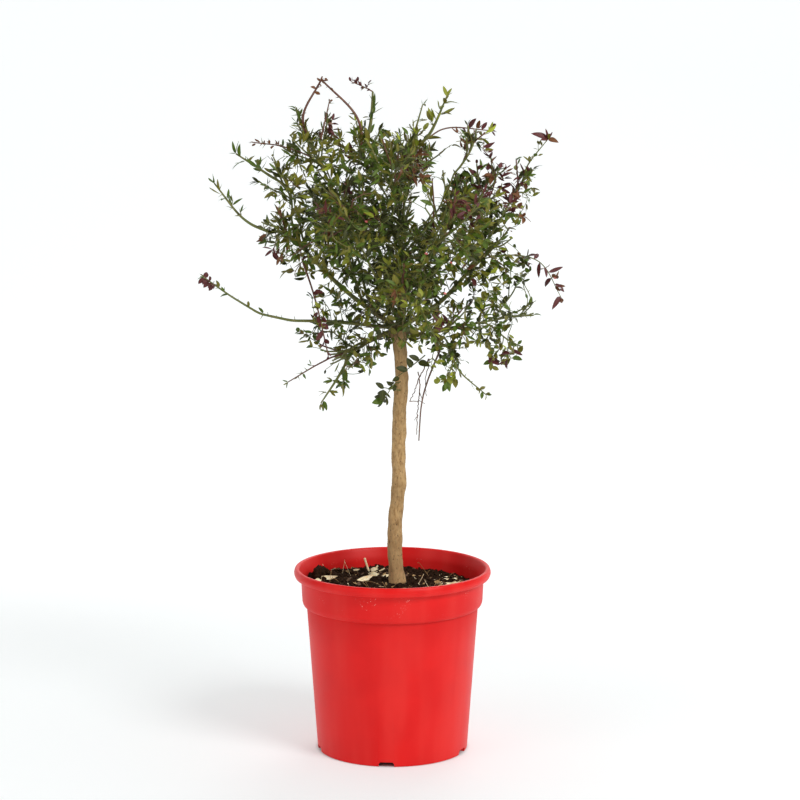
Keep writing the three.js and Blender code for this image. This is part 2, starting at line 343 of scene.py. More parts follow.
def travelled(line):
    """How far each point of a line is from its start, along the line."""
    gaps = np.linalg.norm(np.diff(line, axis=0), axis=1)
    return np.concatenate([[0], np.cumsum(gaps)])


def lumps(places, size, seed, waves=20):
    """A smooth uneven value, mostly between -1 and 1, whose lumps are about size across."""
    dice = np.random.default_rng(seed)
    directions = unit(dice.normal(size=(waves, 3))) * dice.uniform(0.6, 1.5, (waves, 1))
    phases = dice.uniform(0, TURN, waves)
    waves_at = np.sin(places @ (directions.T * (math.pi / size)) + phases)
    return waves_at.sum(1) / math.sqrt(waves) * 0.8


# %% [markdown]
# ## Reading the limbs
#
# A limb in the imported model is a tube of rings, closed at each end by a fan of faces round one middle
# point. Its centreline could be typed in again, but reading it back keeps this script in step with the
# model. From one end's middle point, each ring is one step further along the mesh's edges.


# %% Read the limbs and masses
def merged(node):
    """A node's points, with doubles merged, and its triangles."""
    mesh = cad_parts[node].data
    places = np.empty(len(mesh.vertices) * 3)
    mesh.vertices.foreach_get("co", places)
    corners = np.empty(len(mesh.loops), int)
    mesh.loops.foreach_get("vertex_index", corners)
    places, which = np.unique(places.reshape(-1, 3).round(6), axis=0, return_inverse=True)
    return places, which.ravel()[corners].reshape(-1, 3)


def limb_line(node):
    """The middle and the radius of each ring of a limb, from its thick end to its thin one."""
    places, faces = merged(node)
    beside = [set() for _ in places]
    for face in faces:
        for corner in face:
            beside[corner].update(face)
    off_centre = [
        np.linalg.norm(places[list(near - {i})].mean(0) - places[i]) for i, near in enumerate(beside)
    ]
    step = {int(np.argmin(off_centre))}
    seen = set(step)
    middles, radii = [], []
    while step:
        step = set().union(*(beside[i] for i in step)) - seen
        seen |= step
        if len(step) > 2:  # the last step is the other end's middle point
            ring = places[list(step)]
            middles.append(ring.mean(0))
            radii.append(np.linalg.norm(ring - ring.mean(0), axis=1).mean())
    order = slice(None) if radii[0] >= radii[-1] else slice(None, None, -1)
    return np.array(middles)[order], np.array(radii)[order]


def named(start):
    return sorted(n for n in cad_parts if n.startswith(start))


boughs = {n: limb_line(n) for n in named("bough_")}
shoots = {n: limb_line(n) for n in named("shoot_")}
stem_line, stem_radii = limb_line("stem")


@dataclass
class Mass:
    """A mass of foliage: its middle, its half sizes and its surface."""

    centre: np.ndarray
    half: np.ndarray
    surface: BVHTree

    def way_out(self, start, direction):
        """How far it is from a point inside to the surface, or 0."""
        hit = self.surface.ray_cast(Vector(start), Vector(direction))
        return hit[3] or 0.0

    def depth(self, place):
        """0 at the middle and 1 at the surface."""
        return float(np.linalg.norm((place - self.centre) / self.half))


def read_mass(node):
    places, faces = merged(node)
    low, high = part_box(node)
    centre, half = np.array((low + high) / 2), np.array((high - low) / 2)
    return Mass(centre, half, BVHTree.FromPolygons(places.tolist(), faces.tolist()))


masses = {n: read_mass(n) for n in named("mass_")}
fork = stem_line[-1] + UP * stem_radii[-1] * 0.2  # a little way up into the boughs
crown_low = np.min([m.centre - m.half for m in masses.values()], axis=0)
crown_high = np.max([m.centre + m.half for m in masses.values()], axis=0)
crown_centre, crown_half = (crown_low + crown_high) / 2, (crown_high - crown_low) / 2
print("boughs:", len(boughs), "outer shoots:", len(shoots), "masses:", len(masses))

# %% [markdown]
# ## The branching rule
#
# On the plant each bough forks into limbs, each limb carries shoots, each shoot short side twigs, and the
# leaves sit on the twigs in a spiral. It could be grown with a particle system or an add-on, but a rule
# in steps gives control of where the head is dense and where the sky shows: limbs run from the fork to
# the middle of every mass, shoots fan out from there to its surface, and little grows between masses.


# %% Limbs
@dataclass(eq=False)
class Limb:
    """A growing axis: points from its foot to its tip, a radius at each, its bark, and its mass if any.

    head_start is how far its foot is from the fork along the limbs that bear it, and bare is the share
    of its length, from the foot, that has no leaves.
    """

    line: np.ndarray
    radius: np.ndarray
    bark: str
    mass: Mass = None
    head_start: float = 0.0
    bare: float = 0.0

    def length(self):
        return float(travelled(self.line)[-1])

    def heading(self, i):
        """The direction at one of the inner points."""
        return unit(self.line[i + 1] - self.line[i - 1])

    def at(self, share):
        """The place, the direction and the radius at a share of the length."""
        along = travelled(self.line)
        want = share * along[-1]
        i = min(int(np.searchsorted(along, want, side="right")) - 1, len(along) - 2)
        part = (want - along[i]) / max(along[i + 1] - along[i], 1e-9)
        place = self.line[i] + (self.line[i + 1] - self.line[i]) * part
        radius = self.radius[i] + (self.radius[i + 1] - self.radius[i]) * part
        return place, unit(self.line[i + 1] - self.line[i]), radius


def sweep(start, end, leave, arrive, step=3 * MM, wander=0.0):
    """Points on a smooth curve between two places that leaves and arrives in given directions.

    It sways off the curve by up to about wander times its length.
    """
    length = np.linalg.norm(end - start)
    count = max(3, int(length / step) + 1)
    t = np.linspace(0, 1, count)[:, None]
    line = (
        (2 * t**3 - 3 * t**2 + 1) * start
        + (t**3 - 2 * t**2 + t) * leave * length
        + (3 * t**2 - 2 * t**3) * end
        + (t**3 - t**2) * arrive * length
    )
    if wander:
        sway = rng.normal(size=3)
        wave = np.sin(math.pi * t) * np.sin(2.3 * math.pi * t + sway[0] * 3)
        line = line + wave * sway * wander * length
    return line


def resample(line, radius, step=3 * MM):
    """The same limb with points at even steps."""
    along = travelled(line)
    even = np.linspace(0, along[-1], max(3, int(along[-1] / step) + 1))
    places = np.stack([np.interp(even, along, line[:, i]) for i in range(3)], 1)
    return places, np.interp(even, along, radius)


def smooth_line(line, rounds=2):
    """Rounds off a line's corners, keeping its ends."""
    for _ in range(rounds):
        middle = (line[:-2] + 2 * line[1:-1] + line[2:]) / 4
        line = np.concatenate([line[:1], middle, line[-1:]])
    return line


# %% Leaders: from the fork to the middle of every mass
def bark_of(name):
    if "dead" in name:
        return "dead"
    return "red" if any(word in name for word in ("purple", "arch", "side")) else "green"


limbs = []
leaders = {}
LEADER_RADII = (2.0 * MM, 1.2 * MM)  # at the foot and where it enters its mass
LEADER_TIP = 0.7 * MM
THINNER = 0.85  # the most that a limb's foot is of the limb that it grows on
BOUGH_TRIM = 0.72  # the thickness of a bough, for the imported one's 1
DETOUR_COST = 0.75  # how much a millimetre along the limbs counts against one through the air
SHORT_LINK = 4 * MM


def add_leader(mass_name, line, radius, head_start=0.0):
    """A limb to the middle of a mass, which carries on through it nearly to the far side."""
    mass = masses[mass_name]
    arrive = unit(mass.centre - line[-1])
    outward = unit(unit(mass.centre - fork) + 0.3 * UP + rng.normal(scale=0.15, size=3))
    inner = sweep(line[-1], mass.centre, unit(line[-1] - line[-2]), unit(arrive + outward), wander=0.03)
    reach = mass.way_out(mass.centre, outward) * 0.92
    tip = mass.centre + outward * reach
    outer = sweep(mass.centre, tip, unit(arrive + outward), outward, wander=0.02)
    whole = np.concatenate([line, inner[1:], outer[1:]])
    ends = np.linspace(radius[-1], LEADER_TIP, len(whole) - len(line))
    limb = Limb(smooth_line(whole), np.concatenate([radius, ends]), "green", mass, head_start)
    leaders[mass_name] = limb
    limbs.append(limb)


def place_on_leader(target):
    """The leader made so far, and the point on it, that a limb to a target leaves with least detour."""
    best_cost, best_limb, best_point = math.inf, None, None
    for limb in leaders.values():
        from_fork = travelled(limb.line) + limb.head_start
        cost = np.linalg.norm(limb.line - target, axis=1) + DETOUR_COST * from_fork
        i = int(np.argmin(cost[2:-2])) + 2
        if cost[i] < best_cost:
            best_cost, best_limb, best_point = cost[i], limb, i
    return best_limb, best_point


for name, (line, radius) in boughs.items():
    start = np.concatenate([[fork], line])
    radius = radius * BOUGH_TRIM
    goal = min(masses, key=lambda m: np.linalg.norm((line[-1] - masses[m].centre) / masses[m].half))
    points, radii = resample(smooth_line(start), np.concatenate([radius[:1], radius]))
    add_leader(goal, points, radii)

bough_limbs = list(limbs)
for name in sorted(masses, key=lambda m: np.linalg.norm(masses[m].centre - fork)):
    if name in leaders:
        continue
    centre = masses[name].centre
    parent, i = place_on_leader(centre)
    origin = parent.line[i]
    entry = masses[name].way_out(centre, unit(origin - centre))
    join = centre + unit(origin - centre) * entry
    if np.linalg.norm(join - origin) < SHORT_LINK or (join - origin) @ (centre - origin) < 0:
        join = origin + (centre - origin) * 0.4
    leave = unit(parent.heading(i) + unit(join - origin))
    link = sweep(origin, join, leave, unit(centre - origin), wander=0.03)
    foot = min(parent.radius[i] * THINNER, LEADER_RADII[0])
    from_fork = parent.head_start + travelled(parent.line)[i]
    add_leader(name, link, np.linspace(foot, LEADER_RADII[1], len(link)), from_fork)
print("leaders:", len(leaders))

# %% [markdown]
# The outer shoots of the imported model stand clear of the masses. Each is carried back by a joining stretch
# to the nearest leader, so that it is one limb from its fork to its tip.


# %% Outer shoots
outer_limbs = {}
AT_THE_FORK = 14 * MM
AT_THE_STEM = 12 * MM
# A packed shoot's thickness is scaled by this, or by its own number
SHOOT_TRIM = 0.85
OWN_TRIM = {
    "shoot_right_drooping": 0.5,
    "shoot_far_right": 0.6,
    "shoot_left_long": 0.75,
    "shoot_left_upper": 0.9,
    "shoot_stem_sprig": 0.6,
    "shoot_dead_twig": 1.15,
    "shoot_arch_left": 1.2,
    "shoot_arch_right": 1.15,
}

for name, (line, radius) in shoots.items():
    radius = radius * OWN_TRIM.get(name, SHOOT_TRIM)
    near_fork = np.linalg.norm(line[0] - fork) < AT_THE_FORK
    near_stem = line[0][2] < fork[2] and abs(line[0][0] - stem_line[0][0]) < AT_THE_STEM
    toward = unit(line[1] - line[0])
    if near_fork:
        back, start = fork[None], radius[0]
    elif near_stem:
        i = int(np.argmin(abs(stem_line[:, 2] - line[0][2])))
        back, start = stem_line[i][None], radius[0] * 1.2
    else:
        parent, i = place_on_leader(line[0] - toward * 12 * MM)
        origin = parent.line[i]
        leave = unit(parent.heading(i) + unit(line[0] - origin))
        back = sweep(origin, line[0], leave, toward, wander=0.02)[:-1]
        start = min(radius[0] * 1.15, max(parent.radius[i] * 0.9, radius[0]))
    whole = np.concatenate([back, line])
    thickness = np.concatenate([np.linspace(start, radius[0], len(back)), radius])
    points, radii = resample(whole, thickness)
    bare = (len(back) - 1) / (len(whole) - 1)
    outer_limbs[name] = Limb(smooth_line(points, 3), radii, bark_of(name), bare=bare)
    limbs.append(outer_limbs[name])
print("outer shoots:", len(outer_limbs))

# %% [markdown]
# ## Leaves and spines along a limb
#
# Leaves follow each other round a twig at the golden angle, as they do on most shrubs. The rules below only
# write down rows of numbers: a place, a turn and a size for each leaf or spine. The meshes come later.


# %% Patches of the head
def crown_share(place):
    """Where a place is in the head: -1 to 1 to the right, to the back and up."""
    return (place - crown_centre) / crown_half


@dataclass
class Patch:
    """A round patch of the head, seen from the front."""

    x: float
    z: float
    reach: float


# Where the young leaves are purple or bronze
RED_PATCHES = [
    Patch(-0.136, 0.556, 0.015), Patch(0.122, 0.634, 0.017), Patch(0.132, 0.615, 0.015),
    Patch(0.074, 0.603, 0.013), Patch(0.024, 0.645, 0.010), Patch(0.141, 0.555, 0.017),
    Patch(0.157, 0.547, 0.012), Patch(0.003, 0.520, 0.005), Patch(0.078, 0.668, 0.013),
    Patch(-0.070, 0.690, 0.010), Patch(0.100, 0.655, 0.012),
]
# Where the sky shows through, and where the growth is fuller than the rule alone makes it
OPEN_PATCHES = [
    Patch(0.036, 0.606, 0.024), Patch(0.058, 0.652, 0.020), Patch(0.022, 0.692, 0.018),
    Patch(0.090, 0.696, 0.016), Patch(-0.070, 0.442, 0.019), Patch(-0.138, 0.600, 0.015),
    Patch(0.092, 0.432, 0.018), Patch(0.146, 0.492, 0.016), Patch(-0.100, 0.496, 0.016),
    Patch(0.150, 0.464, 0.018), Patch(0.062, 0.575, 0.014), Patch(0.130, 0.505, 0.010),
    Patch(0.055, 0.632, 0.014), Patch(0.090, 0.662, 0.012), Patch(0.125, 0.575, 0.010),
]
FULL_PATCHES = [
    Patch(0.122, 0.598, 0.019), Patch(0.134, 0.536, 0.017), Patch(-0.045, 0.530, 0.018),
    Patch(-0.072, 0.665, 0.019), Patch(0.118, 0.446, 0.017), Patch(-0.105, 0.556, 0.014),
]


def in_patches(place, patches):
    return any(math.hypot(place[0] - p.x, place[2] - p.z) < p.reach for p in patches)


# %% Colour and form by place
NEAR_COLOURS = {"deep": "green", "green": "olive", "olive": "green", "light": "olive", "lime": "light"}
RED_IN_PATCH = 0.85


def tint_of(place):
    """Leaf colour of a spray: painted shade inside, painted light outside, and redder up on the right."""
    right, _, up = crown_share(place)
    out = min(1.0, float(np.linalg.norm(crown_share(place))))
    purple = 0.2 * max(0.0, right + 0.1) * max(0.0, up + 0.25) * out + 0.03 * out**2
    if in_patches(place, RED_PATCHES):
        purple = RED_IN_PATCH
    if rng.random() < purple:
        return "purple" if rng.random() < 0.6 else "bronze"
    # Deep leaves inside the head are painted shade, and light and lime leaves outside are painted light
    dice = rng.random()
    if dice < 0.85 - 0.6 * out:
        return "deep"
    if dice > 1.0 - 0.17 * out - 0.1 * max(0.0, right - up):
        return "lime" if rng.random() < 0.22 else "light"
    return "olive" if rng.random() < 0.45 - 0.15 * right else "green"


def form_of(place):
    """Narrow leaves on the left and the top of the head, oval ones on the right and low down."""
    right, _, up = crown_share(place)
    oval = 0.3 + 0.35 * right - 0.45 * up
    return "oval" if rng.random() < oval else "narrow"


# %% One leaf, one spine
GOLDEN = math.pi * (3 - math.sqrt(5))
SHED_IN_OPEN = 0.7  # the share of leaves that an open patch goes without
ODD_LEAVES = 0.3  # the share of leaves whose colour is a step from their spray's
leaf_rows = []
spine_rows = []


def turn_to(direction, facing):
    """The turn that lays +Y along a direction, with +Z as near as it can be to another."""
    side = np.cross(direction, facing)
    if np.linalg.norm(side) < 0.05:
        side = across(direction)[0]
    side = unit(side)
    columns = np.stack([side, direction, np.cross(side, direction)], 1)
    return tuple(Matrix(columns.tolist()).to_euler())


def row_of(place, turn, size, variant=0):
    """What a scattered form needs, for one of equal size all ways."""
    return place, turn, (size, size, size), variant


def add_leaf(place, direction, facing, length, form, tint):
    if in_patches(place, OPEN_PATCHES) and rng.random() < SHED_IN_OPEN:
        return
    if rng.random() < ODD_LEAVES:
        tint = NEAR_COLOURS.get(tint, tint)
    width = length * rng.uniform(0.85, 1.15)
    turn = turn_to(direction, facing)
    leaf_rows.append((form, tint, place, turn, (width, length, length), int(rng.integers(3))))


def add_cluster(place, axis, turn, tint, count, size, form):
    """A few leaves at one node, which spread from the axis and lift to the light.

    Where form is None, the place decides it.
    """
    form = form or form_of(place)
    for i in range(count):
        angle = turn + (i - (count - 1) / 2) * rng.uniform(0.8, 1.6)
        out = around(axis, angle)
        spread = rng.uniform(0.5, 1.15)
        direction = unit(axis * math.cos(spread) + out * math.sin(spread) + 0.15 * UP)
        facing = unit(axis * 0.6 + UP * 0.7 - out * 0.2 + rng.normal(scale=0.45, size=3))
        length = size * (1.12 if form == "narrow" else 0.88) * rng.uniform(0.6, 1.3) * MM
        add_leaf(place + out * 0.4 * MM, direction, facing, length, form, tint)


def add_spine(place, axis, turn, length):
    out = around(axis, turn)
    direction = unit(out + axis * rng.uniform(0.1, 0.6))
    spine_rows.append(row_of(place, turn_to(direction, UP), length))


@dataclass
class Habit:
    """What a limb carries: leaf gap and length in mm, leafy and spiny shares, form and colour, then the
    length of its side twigs, the leaves at its tip and the share of its length where the others end."""

    gap: float
    size: float
    leafy: float
    spiny: float
    form: str = None
    tint: str = None
    side: float = 0.0
    tip: int = 2
    end: float = 0.97


def dress(limb, start, habit, tint):
    """Leaves and spines along a limb at the golden angle, from a share of its length on."""
    length = limb.length()
    turn = rng.uniform(0, TURN)
    share = start
    while share < habit.end:
        place, axis, radius = limb.at(share)
        turn += GOLDEN
        if rng.random() < habit.leafy:
            count = int(rng.choice([1, 2, 3], p=[0.55, 0.35, 0.1]))
            foot = place + around(axis, turn) * radius
            add_cluster(foot, axis, turn, tint, count, habit.size, habit.form)
        if rng.random() < habit.spiny:
            add_spine(place, axis, turn + rng.uniform(0.6, 2.4), rng.uniform(4, 9) * MM)
        share += habit.gap * MM * rng.uniform(0.7, 1.35) / length
    if habit.tip:
        place, axis, _ = limb.at(1.0)
        add_cluster(place, axis, turn, tint, habit.tip, habit.size * 0.85, habit.form)


# %% [markdown]
# ## Stiff shoots
#
# Each mass carries straight thorny shoots that leave its leader, point away from the fork and end at the
# surface or just past it. A spiral on a sphere spreads their directions evenly.

# %% Shoots of each mass
SHOOT_RADII = (1.8 * MM, 0.8 * MM)
SHORTEST_SHOOT = 12 * MM
SHOOT_HABIT = Habit(6.0, 11.0, 0.6, 0.6)
LEADER_HABIT = Habit(6.0, 11.0, 0.6, 0.5)


def spiral_directions(count):
    """Directions spread evenly over a sphere."""
    i = np.arange(count) + 0.5
    height = 1 - 2 * i / count
    turn = GOLDEN * i + rng.uniform(0, TURN)
    flat = np.sqrt(1 - height**2)
    return np.stack([flat * np.cos(turn), flat * np.sin(turn), height], 1)


def shoots_in(mass):
    """How many stiff shoots a mass of this size has."""
    litres = 4 / 3 * math.pi * float(np.prod(mass.half)) * 1000
    return int(3 + 20 * litres**0.7)


for name, mass in masses.items():
    leader = leaders[name]
    inside = [i for i, p in enumerate(leader.line[:-1]) if mass.depth(p) < 0.9]
    radial = unit(mass.centre - fork)
    for spiral in spiral_directions(shoots_in(mass)):
        i = int(rng.choice(inside))
        origin = leader.line[i]
        direction = unit(0.8 * spiral + 0.9 * radial + 0.25 * UP + rng.normal(scale=0.15, size=3))
        reach = mass.way_out(origin, direction) * rng.uniform(0.9, 1.15) + rng.uniform(0, 14) * MM
        if reach < SHORTEST_SHOOT:
            continue
        heading = unit(leader.line[i + 1] - leader.line[i])
        leave, arrive = unit(heading + direction * 1.6), unit(direction + 0.3 * UP)
        line = sweep(origin, origin + direction * reach, leave, arrive, wander=0.02)
        foot = min(leader.radius[i] * THINNER, SHOOT_RADII[0])
        bark = "red" if rng.random() < 0.08 + 0.1 * max(0.0, crown_share(origin)[0]) else "green"
        limbs.append(Limb(line, np.linspace(foot, SHOOT_RADII[1], len(line)), bark, mass))
        dress(limbs[-1], 0.3, SHOOT_HABIT, tint_of(line[-1]))
    dress(leader, 0.5, LEADER_HABIT, tint_of(leader.line[-1]))
print("limbs:", len(limbs), "leaves:", len(leaf_rows), "spines:", len(spine_rows))

# %% [markdown]
# The outer shoots are seen one by one against the sky, so each gets its own sizes: how far apart and how
# long its leaves are, their form and colour, and how many nodes bear leaves and spines.

# %% Growth on the outer shoots
HABITS = {
    "shoot_left_long": Habit(6.5, 7.5, 0.45, 0.9, "narrow", "green", tip=3),
    "shoot_left_upper": Habit(6.5, 11.5, 0.7, 0.8, "narrow", "green", 12, 3),
    "shoot_upper_left": Habit(6.5, 13.0, 0.8, 0.8, "narrow", "green", 12, 3),
    "shoot_side_left": Habit(5.0, 6.0, 0.8, 0.5, "oval", "bronze", 5, 3),
    "shoot_stub_left": Habit(6.0, 9.0, 0.8, 0.6, "narrow", "green", 12, 3),
    "shoot_arch_left": Habit(9.0, 5.0, 0.35, 0.3, "narrow", "bronze", tip=3),
    "shoot_arch_right": Habit(10.0, 5.0, 0.3, 0.3, "narrow", "bronze", tip=3),
    "shoot_leader": Habit(6.0, 15.0, 0.85, 0.8, "narrow", "green", 6, 0, 0.72),
    "shoot_top_right": Habit(6.0, 13.0, 0.85, 0.7, "narrow", "light", 12, 3),
    "shoot_arch_purple": Habit(8.0, 9.0, 0.5, 0.2, "narrow", "purple", tip=3),
    "shoot_far_right": Habit(7.0, 9.5, 0.7, 0.3, "oval", "olive", 14, 3),
    "shoot_right_drooping": Habit(6.5, 10.5, 0.6, 0.1, "oval", "bronze", 12, 3),
    "shoot_bottom_right": Habit(5.5, 9.5, 0.8, 0.1, "oval", "green", 12, 3),
    "shoot_bottom_left": Habit(8.0, 10.5, 0.7, 0.4, "narrow", "olive", 9, 3),
    "shoot_bottom_side": Habit(8.0, 7.0, 0.5, 0.5, "narrow", "green", 7, 3),
    "shoot_purple_left": Habit(6.0, 11.0, 0.6, 0.2, "oval", "purple", tip=3),
    "shoot_stem_sprig": Habit(6.0, 14.0, 0.9, 0.0, "oval", "deep", tip=3),
}
PLAIN_HABIT = Habit(6.0, 10.5, 0.75, 0.5, side=13, tip=3)
SIDE_TWIG_GAP = 12 * MM
SIDE_TWIG_RADIUS = 0.55 * MM


def small_twig(start, aim, length, radius, bark, habit, bend=0.35):
    """A short twig from a place, bare where habit is None. It ends turned from its aim by about the bend."""
    aim = unit(np.array(aim, float))
    arrive = unit(aim + rng.normal(scale=bend, size=3))
    start = np.array(start, float)
    line = sweep(start, start + unit(aim + arrive) * length, aim, arrive, step=2 * MM)
    twig = Limb(line, np.linspace(radius, radius * 0.6, len(line)), bark)
    limbs.append(twig)
    if habit:
        dress(twig, 0.15, habit, habit.tint or tint_of(start))
    return twig


for name, limb in outer_limbs.items():
    if "dead" in name:
        continue
    habit = HABITS.get(name, PLAIN_HABIT)
    start = min(0.9, max(0.1, limb.bare))
    dress(limb, start, habit, habit.tint or tint_of(limb.line[-1]))
    turn, share = 0.0, start
    while habit.side and share < 0.85:
        turn += GOLDEN
        place, axis, radius = limb.at(share)
        aim = axis + 1.1 * around(axis, turn)
        length = habit.side * rng.uniform(0.5, 1.3) * (1.2 - share) * MM
        twig_habit = Habit(4.5, habit.size * 0.9, 0.8, 0.2, habit.form, habit.tint)
        small_twig(place, aim, length, min(radius * 0.6, SIDE_TWIG_RADIUS), limb.bark, twig_habit)
        share += SIDE_TWIG_GAP * rng.uniform(0.6, 1.4) / limb.length()


# %% Bunches of leaves at some tips
TO_FRONT = np.array([0.2, -0.8, 0.6])


def tip_bunch(name, count, size, tint, form, lift, reach):
    """Leaves bunched over the last stretch of a shoot. They hang where the lift is negative."""
    limb = outer_limbs[name]
    for i in range(count):
        share = 1 - reach * (i + 0.3) / count / limb.length()
        place, axis, _ = limb.at(share)
        out = around(axis, i * GOLDEN + 1.0)
        direction = unit(axis * 0.5 + out * 0.8 + UP * lift)
        facing = unit(np.array([0, -0.8, 0.6]) + rng.normal(scale=0.4, size=3))
        add_leaf(place, direction, facing, size * rng.uniform(0.75, 1.2) * MM, form, tint)


tip_bunch("shoot_left_long", 13, 9.5, "purple", "oval", -0.7, 16 * MM)
far_tip = outer_limbs["shoot_far_right"].line[-1]
for out, length, form, tint in (
    ((-0.87, -0.3, 0.48), 19, "narrow", "purple"),
    ((0.5, -0.2, 0.8), 10, "narrow", "purple"),
    ((0.95, -0.3, -0.15), 12, "oval", "bronze"),
    ((-0.5, -0.6, 0.0), 13, "narrow", "purple"),
    ((-0.2, -0.4, 0.9), 13, "narrow", "purple"),
):
    add_leaf(far_tip, pointing(*out), TO_FRONT, length * MM, form, tint)
tip_bunch("shoot_right_drooping", 10, 15.0, "purple", "narrow", 0.3, 75 * MM)
tip_bunch("shoot_arch_purple", 7, 13.0, "purple", "oval", 0.2, 34 * MM)
tip_bunch("shoot_purple_left", 6, 12.0, "purple", "oval", -0.3, 50 * MM)
tip_bunch("shoot_stem_sprig", 4, 14.0, "deep", "oval", 0.1, 12 * MM)
tip_bunch("shoot_arch_left", 5, 7.0, "bronze", "oval", -0.5, 16 * MM)
tip_bunch("shoot_bottom_right", 4, 9.0, "green", "oval", 0.1, 16 * MM)

# %% Small twigs at some tips
RED_SPRIG = Habit(3.6, 6.0, 0.9, 0.3, "oval", "purple")
BRONZE_SPRIG = Habit(5, 5, 0.7, 0.6, "oval", "bronze")
APEX_SPRIG = Habit(4, 5, 0.8, 0, "oval", "bronze")
DARK_SPRIG = Habit(8, 13, 0.9, 0, "oval", "deep")

leader_tip = outer_limbs["shoot_leader"].line[-1]
crook = small_twig(leader_tip, (-0.8, -0.1, 0.45), 26 * MM, 0.8 * MM, "red", RED_SPRIG)
small_twig(crook.line[len(crook.line) // 2], (-0.2, 0, 1), 8 * MM, 0.5 * MM, "red", RED_SPRIG)
small_twig(crook.line[len(crook.line) // 3], (0.5, 0, 0.6), 7 * MM, 0.5 * MM, "red", RED_SPRIG)
small_twig((-0.077, -0.012, 0.680), (0.25, 0, 1), 42 * MM, 1.0 * MM, "red", BRONZE_SPRIG)
apex = outer_limbs["shoot_arch_left"].line[-1]
small_twig(apex, (0.3, 0, 1), 5 * MM, 1.0 * MM, "red", None, 0.1)
small_twig(apex, (1, 0, 0.1), 6 * MM, 1.1 * MM, "red", APEX_SPRIG, 0.1)

# %% Two sprigs in front of the stem, and the dead twig
small_twig((0.036, -0.016, 0.445), (-0.76, -0.1, -0.64), 40 * MM, 0.7 * MM, "green", None, 0.05)
small_twig((0.009, -0.008, 0.405), (-0.95, -0.35, 0.15), 21 * MM, 0.7 * MM, "green", None, 0.1)
small_twig((0.038, -0.012, 0.452), (0.8, -0.1, -0.2), 30 * MM, 0.7 * MM, "green", DARK_SPRIG)
# Their broad leaves in mm: how far right and up each sits, its way right and up, and its length
for x, z, way_x, way_z, length in (
    (30, 440, -0.85, 0.45, 14),
    (28, 438, 0.95, -0.15, 14),
    (21, 432, -0.3, 0.9, 12),
    (17, 429, -1.0, 0.3, 14),
    (8, 421, -0.9, -0.3, 9),
    (-9, 409, -0.75, 0.6, 12),
    (-10, 408, -0.1, -1.0, 13),
    (1, 406, 0.5, 0.9, 8),
):
    way = pointing(way_x, -0.3, way_z)
    add_leaf(np.array([x, -22, z]) * MM, way, np.array([0.1, -0.8, 0.6]), length * MM, "oval", "deep")


def dead_twig(points, radius):
    """A bare dry twig through a few places, in mm right and up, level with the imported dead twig."""
    route = np.array([(x, 0, z) for x, z in points]) * MM
    line, radii = resample(route, np.full(len(points), radius), 2 * MM)
    line = smooth_line(line, 2) + rng.normal(scale=0.35 * MM, size=line.shape)
    line[:, 1] += outer_limbs["shoot_dead_twig"].at(0.4)[0][1]
    limbs.append(Limb(line, radii * np.linspace(1.15, 0.7, len(radii)), "dead"))


dead_twig([(40, 442), (34, 430), (29, 420), (24, 405), (19, 395)], 0.65 * MM)
dead_twig([(29, 428), (30, 410), (28, 388), (27, 372), (27, 357)], 0.6 * MM)
dead_twig([(19, 395), (28, 395), (36, 393)], 0.45 * MM)
dead_twig([(41, 442), (36, 419), (37, 400)], 0.5 * MM)
dead_twig([(30, 405), (33, 398), (32, 392)], 0.4 * MM)
dead_twig([(28, 380), (24, 374)], 0.4 * MM)

# %% [markdown]
# ## Fine twigs
#
# The fine growth follows a rule called space colonization. Points scattered through the masses stand for
# light. At each step every point pulls on the twig nearest to it, each pulled twig grows a few millimetres
# towards its points, and a point that has been reached goes out. So twigs share the room between them and
# keep clear of each other. Random side branches would be simpler, but they bunch up and leave holes.

# %% Places in the light
LIGHT_GAP = 9.2 * MM
SLEEVE = 26 * MM  # how far from a bough or a leafy foot the light reaches
FORK_TUFT = np.array([60, 50, 30]) * MM  # half sizes of the growth round the fork
FULL_DEPTH = 32 * MM  # how far in front of the stem and behind it a fuller patch goes
# The share of these outer shoots, from the foot, that bears fine twigs
LEAFY_FEET = {
    "shoot_left_long": 0.42,
    "shoot_bottom_left": 0.35,
    "shoot_bottom_right": 0.5,
    "shoot_front_low": 0.8,
}


def nearest_of(places, targets):
    """For each target, the nearest of the places and how far it is."""
    tree = KDTree(len(places))
    for i, place in enumerate(places):
        tree.insert(place, i)
    tree.balance()
    found = np.array([tree.find(target)[1:] for target in targets])
    return found[:, 0].astype(int), found[:, 1]


def in_masses(grid):
    """Which points are inside a mass, with its surface pushed in and out by lumps."""
    swell = 1.08 + 0.22 * lumps(grid, 26 * MM, 8)
    inside = np.zeros(len(grid), bool)
    for mass in masses.values():
        near = np.linalg.norm((grid - mass.centre) / mass.half, axis=1) < 1.6
        for i in np.flatnonzero(near & ~inside):
            offset = grid[i] - mass.centre
            far = np.linalg.norm(offset)
            inside[i] = far < swell[i] * mass.way_out(mass.centre, offset / far)
    return inside


def near_limbs(grid):
    """Which points are round the fork, or in an uneven sleeve round a bough or a leafy foot."""
    sleeves = [resample(*bough)[0][4:] for bough in boughs.values()]
    for name, share in LEAFY_FEET.items():
        line = outer_limbs[name].line
        sleeves.append(line[6 : int(len(line) * share)])
    _, far = nearest_of(np.concatenate(sleeves), grid)
    near_fork = np.linalg.norm((grid - fork - UP * 12 * MM) / FORK_TUFT, axis=1) < 1
    return near_fork | (far < SLEEVE * (0.85 + 0.4 * lumps(grid, 18 * MM, 9)))


